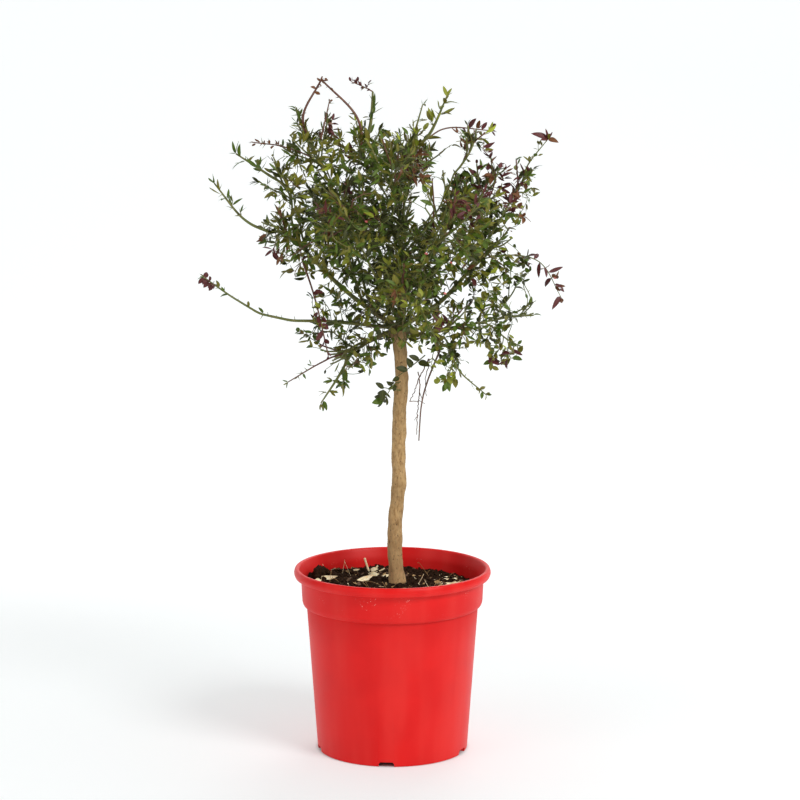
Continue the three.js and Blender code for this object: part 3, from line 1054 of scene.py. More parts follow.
def light_places():
    """Uneven rows of points wherever fine twigs grow, fewer towards the top."""
    steps = [np.arange(a, b, LIGHT_GAP) for a, b in zip(crown_low - 15 * MM, crown_high + 15 * MM)]
    grid = np.stack(np.meshgrid(*steps, indexing="ij"), -1).reshape(-1, 3)
    grid = grid + rng.uniform(-0.5, 0.5, grid.shape) * LIGHT_GAP
    up = crown_share(grid)[:, 2].clip(0, 1)
    lit = (rng.random(len(grid)) < 0.97 - 0.36 * up) & (lumps(grid, 20 * MM, 15) > -0.9)
    shut = np.array([in_patches(place, OPEN_PATCHES) for place in grid])
    fuller = np.array([in_patches(place, FULL_PATCHES) for place in grid])
    fuller &= abs(grid[:, 1]) < FULL_DEPTH
    return grid[((in_masses(grid) | near_limbs(grid)) & lit & ~shut) | fuller]


light = light_places()
print("places in the light:", len(light))

# %% Grow towards the light
GROW_STEP = 3.5 * MM
PULL_REACH = 45 * MM
REACHED = 7.0 * MM
STIFFNESS = 0.8
MOST_ROUNDS = 40
BUDDING = 0.4  # the share of a limb's points that bear a bud


def grow_twigs(places, headings, targets):
    """Adds points to the first ones until no target pulls. Returns all points and each one's parent."""
    parents = np.full(len(places), -1)
    grown = np.zeros(len(places), int)
    near, far = nearest_of(places, targets)
    for _ in range(MOST_ROUNDS):
        pulls = (far < PULL_REACH) & (grown[near] < 2)
        if not pulls.any():
            break
        pull = np.zeros_like(places)
        np.add.at(pull, near[pulls], unit(targets[pulls] - places[near[pulls]]))
        growing = np.unique(near[pulls])
        grown[growing] += 1
        ahead = unit(pull[growing]) + STIFFNESS * headings[growing]
        ahead = unit(ahead + rng.normal(scale=0.15, size=ahead.shape))
        new = places[growing] + ahead * GROW_STEP
        index, distance = nearest_of(new, targets)
        closer = distance < far
        near = np.where(closer, index + len(places), near)
        far = np.where(closer, distance, far)
        still = far > REACHED
        targets, near, far = targets[still], near[still], far[still]
        places = np.concatenate([places, new])
        headings = np.concatenate([headings, ahead])
        parents = np.concatenate([parents, growing])
        grown = np.concatenate([grown, np.zeros(len(new), int)])
        if not len(targets):
            break
    return places, parents


bud_places, bud_headings, bud_limbs = [], [], []
leafy_feet = {id(outer_limbs[name]): share for name, share in LEAFY_FEET.items()}
for limb in limbs:
    share = leafy_feet.get(id(limb), 0.0 if limb.mass is None else 1.0)
    for i in range(2, int((len(limb.line) - 1) * share)):
        if rng.random() < BUDDING:
            bud_places.append(limb.line[i])
            bud_headings.append(unit(limb.line[i + 1] - limb.line[i]))
            bud_limbs.append((limb, i))
twig_places, twig_parents = grow_twigs(np.array(bud_places), np.array(bud_headings), light)
print("buds:", len(bud_places), "twig points:", len(twig_places) - len(bud_places))

# %% [markdown]
# The points are joined into chains, each from a fork to a tip. A chain goes on into the child that carries
# the most tips. A twig that carries more tips is thicker, which is the rule that holds for real branches.

# %% Chains of twig points
TIP_RADIUS = 0.36 * MM
MOST_TIPS = 30  # a twig grows no thicker past this many tips
TWIG_HABIT = Habit(5.2, 11.0, 0.5, 0.12)
SAME_TINT = 0.6  # how often a side twig takes the colour of the twig that bears it


def twig_chains():
    """Limbs made of the grown points, each with the limb or the number of the chain that bears it."""
    count = len(twig_places)
    children = [[] for _ in range(count)]
    for i in range(len(bud_places), count):
        children[twig_parents[i]].append(i)
    tips = np.ones(count)
    for i in reversed(range(count)):
        if children[i]:
            tips[i] = sum(tips[c] for c in children[i])
    waiting = [(i, c, None) for i in range(len(bud_places)) for c in children[i]]
    chains = []
    while waiting:
        parent, node, source = waiting.pop()
        chain = [parent, node]
        while children[chain[-1]]:
            ordered = sorted(children[chain[-1]], key=lambda c: -tips[c])
            waiting += [(chain[-1], c, len(chains)) for c in ordered[1:]]
            chain.append(ordered[0])
        radius = TIP_RADIUS * np.minimum(tips[chain], MOST_TIPS) ** 0.4
        radius[0] = radius[1]
        if source is None:
            source, i = bud_limbs[parent]
            radius = np.minimum(radius, source.radius[i] * THINNER)
        chains.append((Limb(smooth_line(twig_places[chain]), radius, "green"), source))
    return chains


twigs = []
tints = []
for chain, source in twig_chains():
    on_twig = isinstance(source, int)
    tint = tint_of(chain.line[-1])
    if on_twig and rng.random() < SAME_TINT:
        tint = tints[source]
    bearer = twigs[source] if on_twig else source
    chain.bark = "red" if bearer.bark == "red" or rng.random() < 0.12 else "green"
    tints.append(tint)
    twigs.append(chain)
    dress(chain, 0.2, TWIG_HABIT, tint)
print("twigs:", len(twigs), "leaves:", len(leaf_rows), "spines:", len(spine_rows))

# %% [markdown]
# ## Twigs as tubes
#
# A twig is a line with a radius at each point. Skin or Bevel could thicken it, but a tree of nodes turns
# all lines of one bark to tubes at once: mesh edges become curves, and a small circle is swept along them.


# %% Tube tree
def tube_tree(material):
    graph, given = start_tree("tubes", Sides=("Int", 6))
    curve = graph.node("GeometryNodeMeshToCurve", None, {0: given["Geometry"]})
    radius = stored(graph, "radius")
    sized = graph.node("GeometryNodeSetCurveRadius", None, {0: curve, 2: radius})
    section = graph.node("GeometryNodeCurvePrimitiveCircle", None, {0: given["Sides"], 4: 1.0})
    tube = graph.node("GeometryNodeCurveToMesh", None, {0: sized, 1: section, 2: radius, 3: True})
    end_tree(graph, tube, material)
    return graph


def make_tubes(name, lines, radii, material, sides):
    """One object of tubes along these lines."""
    starts = np.cumsum([0] + [len(line) for line in lines])
    edges = [(i, i + 1) for a, b in zip(starts[:-1], starts[1:]) for i in range(a, b - 1)]
    mesh = mesh_of(name, np.concatenate(lines), edges=edges)
    put_attribute(mesh, "radius", "FLOAT", np.concatenate(radii).astype(np.float32))
    return run_tree(name, mesh, tube_tree(material), Sides=sides)


def twig_material(name, main, streak, roughness):
    """Young bark, which turns brown near the fork where it is oldest."""
    material, graph, shader = new_material(name, roughness)
    place = object_place(graph)
    patch = noise(graph, place, 7 * MM).ramp(0.35, 0.7)
    speck = noise(graph, place, 1.2 * MM, 2.0).ramp(0.58, 0.7)
    from_fork = {"operation": "DISTANCE"}
    far = graph.node("ShaderNodeVectorMath", from_fork, {0: place, 1: tuple(fork)}, output=1)
    old = (1 - far.ramp(8 * MM, 75 * MM)) * 0.75
    base = graph.mix(speck * 0.35, graph.mix(patch, main, streak), colour(140, 130, 90))
    base = graph.mix(old, base, colour(84, 66, 38))
    feed(graph, shader, base_color=base, normal=bump(graph, noise(graph, place, 1.5 * MM), 0.15 * MM))
    return material


BARKS = {
    "green": twig_material("green_bark", colour(88, 98, 36), colour(114, 110, 52), 0.55),
    "red": twig_material("red_bark", colour(96, 54, 44), colour(116, 76, 54), 0.55),
    "dead": twig_material("dead_bark", colour(92, 66, 56), colour(126, 96, 82), 0.85),
}

# %% Make the twigs
TWIG_SIDES = 5
LIMB_SIDES = 8


def tubes_of(name, chosen, bark, sides):
    return make_tubes(name, [t.line for t in chosen], [t.radius for t in chosen], BARKS[bark], sides)


for bark in BARKS:
    chosen = [t for t in twigs if t.bark == bark]
    if chosen:
        finish_piece(tubes_of("twigs_" + bark, chosen, bark, TWIG_SIDES), bark + "_bark")
    chosen = [t for t in limbs if t.bark == bark and t not in bough_limbs]
    piece = tubes_of("limbs_" + bark, chosen, bark, LIMB_SIDES)
    finish_piece(piece, bark + "_bark", *[n for n in shoots if bark_of(n) == bark])

# %% [markdown]
# ## Leaves
#
# A leaf is a folded, arched blade of a few faces: a midrib with a row of points on each side. Three forms
# of each outline, flat, arched and twisted, are dealt out at random. Every cloud of points holds leaves of
# one outline and one colour, and the tree puts a blade on each point.


# %% Leaf blades
STATIONS = 7  # the rows of points from foot to tip. The first and the last are one point each.


def blade(name, width, fullest, fold, arch, twist):
    """A leaf one unit long on +Y, facing +Z, with its midrib on the axis.

    Past 1, fullest moves its widest part to the tip, and under 1 to the foot. Fold lifts its sides, arch
    bows its tip down, and twist turns it along its length.
    """
    t = np.linspace(0, 1, STATIONS)
    half = width / 2 * np.sin(math.pi * t**fullest) ** 0.8 + 0.01
    half[[0, -1]] = 0
    places, uvs = [], []
    for share, wide in zip(t, half):
        turn = twist * share
        drop = -arch * share**2 + 0.25 * arch * share
        for side in (-1, 0, 1) if wide else (0,):
            lift = abs(side) * wide * fold
            x, z = side * wide * math.cos(turn), lift + side * wide * math.sin(turn)
            places.append((x, share, z + drop))
            uvs.append((0.5 + side * wide / width, share))
    faces = [(0, 2, 1), (0, 3, 2)]
    for row in range(STATIONS - 3):
        a = 1 + 3 * row
        faces += [(a, a + 1, a + 4, a + 3), (a + 1, a + 2, a + 5, a + 4)]
    a, tip = 1 + 3 * (STATIONS - 3), len(places) - 1
    faces += [(a, a + 1, tip), (a + 1, a + 2, tip)]
    mesh = mesh_of(name, places, faces)
    layer = mesh.uv_layers.new(name="OFBake")
    for loop in mesh.loops:
        layer.data[loop.index].uv = uvs[loop.vertex_index]
    return object_of(name, mesh)


FORMS = {
    "narrow": [
        blade("narrow_flat", 0.28, 0.80, 0.25, 0.10, 0.0),
        blade("narrow_arched", 0.31, 0.75, 0.30, 0.40, 0.3),
        blade("narrow_twisted", 0.24, 0.85, 0.20, -0.18, -0.6),
    ],
    "oval": [
        blade("oval_flat", 0.50, 0.85, 0.18, 0.12, 0.0),
        blade("oval_arched", 0.54, 0.80, 0.25, 0.35, 0.25),
        blade("oval_twisted", 0.47, 0.90, 0.15, -0.15, -0.45),
    ],
}


def scatter_tree(objects, material, smooth):
    """Puts one of these objects on each point, as its turn, size and variant say."""
    graph, given = start_tree("scatter", Size=("Float", 1.0))
    forms = [graph.node("GeometryNodeObjectInfo", None, {0: o, 1: True}, output=4) for o in objects]
    joined = graph.node("GeometryNodeJoinGeometry", None, {0: forms})
    spin = graph.node("FunctionNodeEulerToRotation", None, {0: stored(graph, "turn", "FLOAT_VECTOR")})
    sizes = {0: stored(graph, "size", "FLOAT_VECTOR"), 3: given["Size"]}
    scale = graph.node("ShaderNodeVectorMath", {"operation": "SCALE"}, sizes)
    variant = stored(graph, "variant", "INT")
    inputs = {0: given["Geometry"], 2: joined, 3: True, 4: variant, 5: spin, 6: scale}
    end_tree(graph, graph.node("GeometryNodeInstanceOnPoints", None, inputs), material, smooth)
    return graph


def scatter(name, rows, objects, material, size=1.0, smooth=True):
    """One object from rows of (place, turn, size, variant). Its size scales all of them."""
    mesh = mesh_of(name, [row[0] for row in rows])
    put_attribute(mesh, "turn", "FLOAT_VECTOR", np.array([row[1] for row in rows], np.float32))
    put_attribute(mesh, "size", "FLOAT_VECTOR", np.array([row[2] for row in rows], np.float32))
    put_attribute(mesh, "variant", "INT", np.array([row[3] for row in rows], np.int32))
    return run_tree(name, mesh, scatter_tree(objects, material, smooth), Size=size)


# %% Leaf colours
def leaf_material(name, base, vein):
    """A waxy leaf: a paler midrib, a slightly darker edge, and side veins in relief."""
    material, graph, shader = new_material(name, 0.5, 0.3)
    across_leaf, along_leaf, _ = graph.node("ShaderNodeUVMap", {"uv_map": "OFBake"}).parts()
    off = (across_leaf - 0.5).only("ABSOLUTE")
    midrib = 1 - off.ramp(0.02, 0.07)
    edge = off.ramp(0.25, 0.5)
    ribs = (along_leaf * 60.0 - off * 45.0).only("SINE") * 0.5 + 0.5
    body = graph.mix(edge * 0.35, base, tuple(c * 0.7 for c in base[:3]) + (1,))
    feed(graph, shader, base_color=graph.mix(midrib * 0.6, body, vein))
    feed(graph, shader, normal=bump(graph, midrib + ribs * 0.3, 0.12 * MM, 0.6))
    return material


# The blade and the midrib of each leaf colour
# Where tint_of deals them, deep is painted shade inside the head, and light and lime are painted light
# outside it
LEAF_COLOURS = {
    "deep": (colour(56, 60, 18), colour(84, 86, 38)),
    "green": (colour(80, 102, 26), colour(114, 128, 56)),
    "olive": (colour(112, 108, 34), colour(140, 134, 62)),
    "light": (colour(140, 146, 48), colour(162, 162, 80)),
    "lime": (colour(162, 174, 52), colour(184, 190, 84)),
    "bronze": (colour(112, 70, 40), colour(136, 96, 62)),
    "purple": (colour(92, 44, 44), colour(118, 68, 62)),
}
LEAF_FINISHES = {tint: leaf_material("leaf_" + tint, *pair) for tint, pair in LEAF_COLOURS.items()}

# %% [markdown]
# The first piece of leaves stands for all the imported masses, which are hidden together.

# %% Make the leaves
standing_for = named("mass_")
for form, blades in FORMS.items():
    for tint, material in LEAF_FINISHES.items():
        rows = [row[2:] for row in leaf_rows if row[:2] == (form, tint)]
        finish_piece(scatter(f"leaves_{form}_{tint}", rows, blades, material), "foliage", *standing_for)
        standing_for = []


# %% Spines and buds
FORM_SIDES = 5


def turned_form(name, rings):
    """A small body on +Y, from the place and radius of each ring."""
    places = [(r * math.sin(a), y, r * math.cos(a)) for y, r in rings for a in turns_of(FORM_SIDES)]
    return object_of(name, mesh_of(name, places, tube_faces(len(rings), FORM_SIDES)))


spine = turned_form("spine_form", [(0.0, 0.11), (0.18, 0.065), (0.6, 0.035), (1.0, 0.004)])
finish_piece(scatter("spines", spine_rows, [spine], BARKS["green"]), "green_bark")


def bud_material():
    material, graph, shader = new_material("bud_pink", 0.5)
    shade = noise(graph, object_place(graph), 1.5 * MM).ramp(0.3, 0.7)
    feed(graph, shader, base_color=graph.mix(shade, colour(190, 60, 70), colour(232, 150, 140)))
    return material


# Two pink buds sit on the foremost twig end near each of these places, how far right and up
BUDS = [(0.087, 0.599), (0.034, 0.568), (0.075, 0.547), (0.067, 0.534), (0.172, 0.515), (-0.022, 0.600)]
twig_ends = np.array([t.line[-1] for t in twigs + limbs])
bud_rows = []
for x, z in BUDS:
    off = np.hypot(twig_ends[:, 0] - x, twig_ends[:, 2] - z) + 0.2 * twig_ends[:, 1]
    place = twig_ends[off.argmin()]
    for out in ((-0.3, -1, 0.5), (0.4, -0.9, 0.2)):
        bud_rows.append(row_of(place, turn_to(pointing(*out), UP), rng.uniform(2.6, 3.6) * MM))
bud = turned_form("bud_form", [(0.0, 0.15), (0.25, 0.38), (0.6, 0.42), (0.85, 0.25), (1.0, 0.05)])
finish_piece(scatter("buds", bud_rows, [bud], bud_material()), "foliage")

# %% [markdown]
# ## The stem
#
# The stem is a smooth young trunk with shallow upright furrows, small pores and a few healed knots where
# side shoots were rubbed off. The relief could be only a bump in the material, but it is real geometry
# here, because the stem is what the eye follows from the pot to the head.


# %% Bark skins
def bark_skin(line, radii, sides):
    """Places in rings round a line, and the outward direction at each."""
    tangents = unit(np.gradient(line, axis=0))
    right = unit(np.cross(np.array([0, 1.0, 0.05]), tangents))
    back = np.cross(tangents, right)
    turns = turns_of(sides)[None, :, None]
    out = right[:, None] * np.cos(turns) + back[:, None] * np.sin(turns)
    return (line[:, None] + out * radii[:, None, None]).reshape(-1, 3), out.reshape(-1, 3)


# %% Stem surface
STEM_SIDES = 72
KNOTS = 12


def stem_mesh():
    """Furrows along the stem, finer cracks across it, swellings, and knots that are rings with a pit."""
    line, radii = resample(smooth_line(stem_line, 1), stem_radii, 1.2 * MM)
    line = smooth_line(line, 10)
    skin, out = bark_skin(line, radii, STEM_SIDES)
    relief = 0.16 * MM * lumps(skin * np.array([1, 1, 0.3]), 1.8 * MM, 5, 40)
    relief += 0.12 * MM * lumps(skin * np.array([1, 1, 1.6]), 1.7 * MM, 7, 40)
    relief += 0.8 * MM * lumps(skin, 15 * MM, 6) + 0.25 * MM * lumps(skin, 6 * MM, 12, 40)
    dice = np.random.default_rng(4)
    for _ in range(KNOTS):
        ring = int(dice.uniform(0.08, 0.92) * len(line))
        centre = skin[ring * STEM_SIDES + dice.integers(STEM_SIDES)]
        knot = dice.uniform(1.5, 2.8) * MM
        far = np.linalg.norm((skin - centre) * np.array([1, 1, 0.8]), axis=1) / knot
        relief += MM * (0.6 * np.exp(-(far**2)) - 0.9 * np.exp(-((far / 0.45) ** 2)))
    places = skin + out * relief[:, None]
    places[:STEM_SIDES, 2] = line[0][2]
    return mesh_of("stem_bark", places, tube_faces(len(line), STEM_SIDES))


def stem_material():
    material, graph, shader = new_material("stem_bark", 0.8)
    place = object_place(graph)
    furrow = noise(graph, object_place(graph, (1, 1, 0.3)), 2.0 * MM, 5.0, 0.65).ramp(0.42, 0.66)
    mottle = noise(graph, object_place(graph, (1, 1, 0.7)), 4.5 * MM, 5.0, 0.7).ramp(0.38, 0.68)
    patch = noise(graph, place, 24 * MM).ramp(0.4, 0.68)
    pores = 1 - noise(graph, object_place(graph, (1, 1, 0.6)), 2.2 * MM, 1.5).ramp(0.29, 0.36)
    height = place.parts()[2]
    # Painted light: the low stem, which the pot shades, is made lighter
    low = 1 - height.ramp(0.19, 0.26)
    # A painted shadow of the head darkens the top of the stem
    top = height.ramp(0.425, 0.475)
    base = graph.mix(furrow, colour(184, 147, 96), colour(144, 108, 62))
    base = graph.mix(mottle * 0.55, base, colour(204, 172, 122))
    base = graph.mix(patch * 0.4, base, colour(146, 116, 76))
    # Painted light on the low stem
    base = graph.mix(low * 0.55, base, colour(206, 170, 118))
    # The painted shadow of the head at the top
    base = graph.mix(top * 0.6, base, colour(104, 84, 50))
    base = graph.mix(pores * 0.75, base, colour(86, 62, 40))
    feed(graph, shader, base_color=base)
    feed(graph, shader, normal=bump(graph, 1 - furrow * 0.6 - pores * 0.8, 0.6 * MM, 0.9))
    return material


stem = object_of("stem_bark", stem_mesh(), stem_material())
finish_piece(stem, "stem_bark", "stem")


# %% Bough surface
BOUGH_SIDES = 14
LEAF_BASE_RINGS = 4


def bough_mesh():
    """Green boughs with shallow ridges, and a swelling at each old leaf base."""
    places, faces = [], []
    for k, limb in enumerate(bough_limbs):
        line, radii = resample(limb.line, limb.radius, 1.6 * MM)
        skin, out = bark_skin(line, radii, BOUGH_SIDES)
        relief = 0.12 * MM * lumps(skin * 0.6, 2.2 * MM, 50 + k, 30)
        for ring in range(LEAF_BASE_RINGS, len(line) - 2, LEAF_BASE_RINGS):
            side = int(ring / LEAF_BASE_RINGS * GOLDEN * BOUGH_SIDES / TURN) % BOUGH_SIDES
            far = np.linalg.norm(skin - skin[ring * BOUGH_SIDES + side], axis=1) / (1.5 * MM)
            relief += 0.55 * MM * np.exp(-(far**2)) * min(1.0, radii[ring] / (2 * MM))
        faces += tube_faces(len(line), BOUGH_SIDES, len(places))
        places += list(skin + out * relief[:, None])
    return mesh_of("bough_bark", places, faces)


bough_bark = object_of("bough_bark", bough_mesh(), BARKS["green"])
finish_piece(bough_bark, "green_bark", *boughs)

# %% [markdown]
# ## The pot
#
# The pot is one injection moulding: a tapered body, a step to a wider collar, and a rolled rim. A round
# thing like this can be turned from one outline. The outline here goes up the outside, over the rim and
# down the inside, with its corners rounded, and the drainage notches are cut out of the foot afterwards.


# %% Turned pot
POT_SIDES = 160
pot_low, pot_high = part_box("pot")
POT_RADIUS = (pot_high.x - pot_low.x) / 2
POT_HEIGHT = pot_high.z
FOOT_RADIUS = POT_RADIUS - 26 * MM
CORNER_STEPS = 5


def rounded(points, radii):
    """An outline with each inner corner rounded by its own radius."""
    line = [np.array(points[0])]
    for before, corner, after, radius in zip(points[:-2], points[1:-1], points[2:], radii[1:-1]):
        before, corner, after = map(np.array, (before, corner, after))
        back, ahead = before - corner, after - corner
        reach = min(radius, np.linalg.norm(back) * 0.45, np.linalg.norm(ahead) * 0.45)
        start, end = corner + unit(back) * reach, corner + unit(ahead) * reach
        for t in np.linspace(0, 1, CORNER_STEPS):
            line.append((1 - t) ** 2 * start + 2 * t * (1 - t) * corner + t**2 * end)
    line.append(np.array(points[-1]))
    return np.array(line)


def pot_outline():
    """The turned outline, from the underside's middle round to the inside's.

    Each row is a corner in mm: its radius, its height and how far it is rounded.
    """
    rim, top = POT_RADIUS / MM, POT_HEIGHT / MM
    underside = [(0, 4.2, 0), (4, 4.2, 0.2), (5.2, 3.4, 0.3), (6.4, 4.2, 0.3), (78, 4.2, 1), (79.4, 0, 0.6)]
    side = [(rim - 26.2, 0, 1.2), (rim - 14.6, top - 43.4, 0.8)]
    collar = [
        (rim - 14.7, top - 42.2, 0.5), (rim - 11.2, top - 41.4, 2.0), (rim - 9.6, top - 37.5, 3),
        (rim - 8.4, top - 11.4, 0.5), (rim - 8.6, top - 10.6, 0.3),
    ]
    roll = [
        (rim - 2.2, top - 10.2, 0.8), (rim - 0.1, top - 5.5, 3), (rim - 1.9, top, 2.6),
        (rim - 6, top, 2.2), (rim - 7.8, top - 5, 4),
    ]
    inside = [
        (rim - 10.2, top - 12, 4), (rim - 12.3, top - 38, 3), (rim - 16.8, top - 44.5, 3),
        (rim - 27.9, 6.4, 2), (0, 6.4, 0),
    ]
    rows = underside + side + collar + roll + inside
    return rounded([(r * MM, z * MM) for r, z, _ in rows], [c * MM for _, _, c in rows])


def pot_mesh():
    """The outline turned once round the Z axis, closed at both ends on the axis."""
    outline = pot_outline()
    rings = [circle(r, z, turns_of(POT_SIDES)) for r, z in outline[1:-1]]
    return closed_rings("pot_moulding", rings, (0, 0, outline[0][1]), (0, 0, outline[-1][1]))


pot = object_of("pot_moulding", pot_mesh())

# %% Drainage notches
NOTCHES = 5
NOTCH_TURN = math.radians(-94.4)


def notch_cutter():
    """An arched block through the foot for each notch, as one mesh."""
    width, height, depth = 8.6 * MM, 5.2 * MM, 6 * MM
    arch = [(-width, -height), (width, -height), (width, height * 0.55), (width * 0.8, height)]
    arch += [(-x, z) for x, z in reversed(arch[2:])]
    places, faces = [], []
    for i in range(NOTCHES):
        turn = NOTCH_TURN + TURN * i / NOTCHES
        out = np.array([math.cos(turn), math.sin(turn), 0])
        side = np.array([-out[1], out[0], 0])
        faces += tube_faces(2, len(arch), len(places))
        for reach in (FOOT_RADIUS - depth, FOOT_RADIUS + depth):
            places += [out * reach + side * x + UP * z for x, z in arch]
    return object_of("cutter", mesh_of("cutter", places, faces, smooth=False))


def cut(piece, cutter):
    """Cuts one object out of another, and leaves a plain mesh."""
    modifier = piece.modifiers.new("cut", "BOOLEAN")
    modifier.operation = "DIFFERENCE"
    modifier.solver = "EXACT"
    modifier.object = cutter
    evaluated = piece.evaluated_get(bpy.context.evaluated_depsgraph_get())
    result = bpy.data.meshes.new_from_object(evaluated)
    piece.modifiers.clear()
    piece.data = result
    bpy.data.objects.remove(cutter)


cut(pot, notch_cutter())
pot.data.polygons.foreach_set("use_smooth", [True] * len(pot.data.polygons))
pot.data.set_sharp_from_angle(angle=math.radians(40))
print("pot:", len(pot.data.polygons), "faces")


# %% Pot plastic
def pot_material():
    """Cloudy red plastic, bands of painted sheen, painted shade on the rougher inside, dust on the collar.
    """
    material, graph, shader = new_material("pot_plastic", 0.42, 0.24)
    place = object_place(graph)
    cloud = noise(graph, place, 45 * MM)
    grain = noise(graph, place, 0.9 * MM, 2.0)
    dust = noise(graph, place, 2.2 * MM, 4.0, 0.7).ramp(0.6, 0.68)
    dusty = noise(graph, place, 20 * MM).ramp(0.53, 0.68)
    height = place.parts()[2]
    out = object_place(graph, (1, 1, 0)).length()
    collar = height.ramp(0.165, 0.19) * (1 - height.ramp(0.192, 0.194)) * out.ramp(0.0995, 0.1)
    base = graph.mix(cloud.ramp(0.3, 0.7), colour(221, 14, 12), colour(229, 19, 16))
    # Paler upright bands: a painted sheen on the plastic
    streak = noise(graph, object_place(graph, (1, 1, 0.12)), 26 * MM, 2.0).ramp(0.4, 0.72)
    base = graph.mix(streak * 0.22, base, colour(240, 70, 62))
    # The inside is darkened with painted shade, and it is also made rougher
    inside = (1 - out.ramp(0.09, 0.1045)) * height.ramp(0.12, 0.2)
    base = graph.mix(inside * 0.8, base, colour(190, 4, 8))
    base = graph.mix(dust * dusty * collar * 0.8, base, colour(248, 200, 190))
    rough = 0.36 + cloud * 0.1 + dust * 0.15 + inside * 0.45
    feed(graph, shader, base_color=base, roughness=rough, normal=bump(graph, grain, 0.05 * MM, 0.5))
    return material


pot.data.materials.clear()
pot.data.materials.append(pot_material())
finish_piece(pot, "pot_plastic", "pot")

# %% [markdown]
# ## Compost
#
# The compost is a body that fills the pot, with a rough top. The surface is a fine disc of points moved by
# lumps of two sizes, and it rises a little to the left. On it lie loose crumbs and clods, chips of bark, a
# few straws and some root hairs.


# %% Compost body
COMPOST_SIDES = 150
COMPOST_RINGS = 60


def compost_top():
    """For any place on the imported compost, the height of its surface."""
    places, faces = merged("compost")
    tree = BVHTree.FromPolygons(places.tolist(), faces.tolist())
    high = float(places[:, 2].max()) + 10 * MM

    def height(x, y):
        hit = tree.ray_cast(Vector((x, y, high)), Vector((0, 0, -1)))
        return hit[0].z if hit[0] else None

    return height


ground = compost_top()
LOWEST_TOP = 0.17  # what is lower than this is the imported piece's side
FLOOR = 6.8 * MM


def surface_height(x, y):
    """The finished surface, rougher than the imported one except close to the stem."""
    here = np.array([[x, y, 0.0]])
    from_stem = math.hypot(x - stem_line[0][0], y - stem_line[0][1])
    settle = min(1.0, max(0.0, (from_stem - 9 * MM) / (12 * MM)))
    rough = 1.9 * lumps(here, 8 * MM, 21)[0] + 0.9 * lumps(here, 3.2 * MM, 22)[0]
    lean = 3.6 * max(0.0, -x / (90 * MM)) - 2.0 * max(0.0, x / (90 * MM))
    return ground(x, y) + (rough + lean - 0.8) * settle * MM


def compost_mesh():
    """The body's wall and floor inside the pot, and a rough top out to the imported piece's edge."""
    turns = turns_of(COMPOST_SIDES)
    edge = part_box("compost")[1].x - 0.2 * MM
    while (ground(edge, 0.0) or 0.0) < LOWEST_TOP:
        edge -= 0.2 * MM
    edge -= 0.3 * MM
    foot = circle(POT_RADIUS - 29.5 * MM, FLOOR, turns)
    shoulder = circle(POT_RADIUS - 17.9 * MM, POT_HEIGHT - 46 * MM, turns)
    rings = [foot, shoulder]
    for share in (np.linspace(1, 0, COMPOST_RINGS) ** 0.9)[:-1]:
        rings.append([(x, y, surface_height(x, y)) for x, y, _ in circle(edge * share, 0, turns)])
    middle = (0, 0, surface_height(0.0, 0.0))
    return closed_rings("compost_body", rings, (0, 0, FLOOR), middle), edge


def compost_material():
    material, graph, shader = new_material("compost", 1.0, 0.1)
    place = object_place(graph)
    crumb = noise(graph, place, 1.8 * MM, 5.0, 0.7)
    pale = noise(graph, place, 3.2 * MM, 3.0).ramp(0.62, 0.72)
    base = graph.mix(crumb.ramp(0.3, 0.7), colour(26, 15, 9), colour(62, 41, 26))
    base = graph.mix(pale * 0.4, base, colour(104, 76, 48))
    feed(graph, shader, base_color=base, normal=bump(graph, crumb, 1.2 * MM, 0.9))
    return material


compost_finish = compost_material()
compost_shape, compost_edge = compost_mesh()
compost = object_of("compost_body", compost_shape, compost_finish)
finish_piece(compost, "compost", "compost")


# %% Crumbs and clods
BARE_RING = 11 * MM  # no litter this close to the stem


def crumb_form(seed, fine=1):
    """An uneven lump about one unit across. Where fine is 2 it has more faces and small lumps too."""
    work = bmesh.new()
    bmesh.ops.create_icosphere(work, subdivisions=fine, radius=0.5)
    for vertex in work.verts:
        place = np.array([vertex.co])
        small = 0.2 * (fine - 1) * lumps(place, 0.25, seed)[0]
        vertex.co *= 1 + 0.35 * lumps(place, 0.7, seed)[0] + small
    mesh = bpy.data.meshes.new("crumb_form")
    work.to_mesh(mesh)
    work.free()
    return object_of(f"crumb_form_{seed}", mesh)


def any_way():
    """A turn about all three axes."""
    return tuple(rng.uniform(0, TURN, 3))


def on_compost(x, y, lift):
    return (x, y, surface_height(x, y) + lift)


def litter(count, sizes, edge=0.97):
    """Rows at random places on the compost, out to a share of its radius, turned any way."""
    rows = []
    while len(rows) < count:
        radius = compost_edge * edge * math.sqrt(rng.random())
        turn = rng.uniform(0, TURN)
        x, y = radius * math.cos(turn), radius * math.sin(turn)
        if math.hypot(x - stem_line[0][0], y) < BARE_RING:
            continue
        size = rng.uniform(*sizes) * MM * rng.choice([0.6, 1.0, 1.5], p=[0.5, 0.35, 0.15])
        rows.append(row_of(on_compost(x, y, size * 0.2), any_way(), size, int(rng.integers(3))))
    return rows


crumbs = [crumb_form(seed) for seed in (31, 32, 33)]
clods = [crumb_form(seed, 2) for seed in (34, 35, 36)]
crumb_rows = litter(3000, (1.0, 2.8))
finish_piece(scatter("compost_crumbs", crumb_rows, crumbs, compost_finish, smooth=False), "compost")

clod_rows = litter(110, (3.0, 5.5), 0.93)
# A heap of dark clods against the wall on the left
for _ in range(26):
    x, y = (-82 + rng.normal(scale=3.5)) * MM, (18 + rng.normal(scale=9)) * MM
    if math.hypot(x, y) < compost_edge * 0.97:
        size = rng.uniform(5, 9) * MM
        place = on_compost(x, y, rng.uniform(0.2, 0.8) * size)
        clod_rows.append(row_of(place, any_way(), size, int(rng.integers(3))))
finish_piece(scatter("compost_clods", clod_rows, clods, compost_finish, smooth=False), "compost")


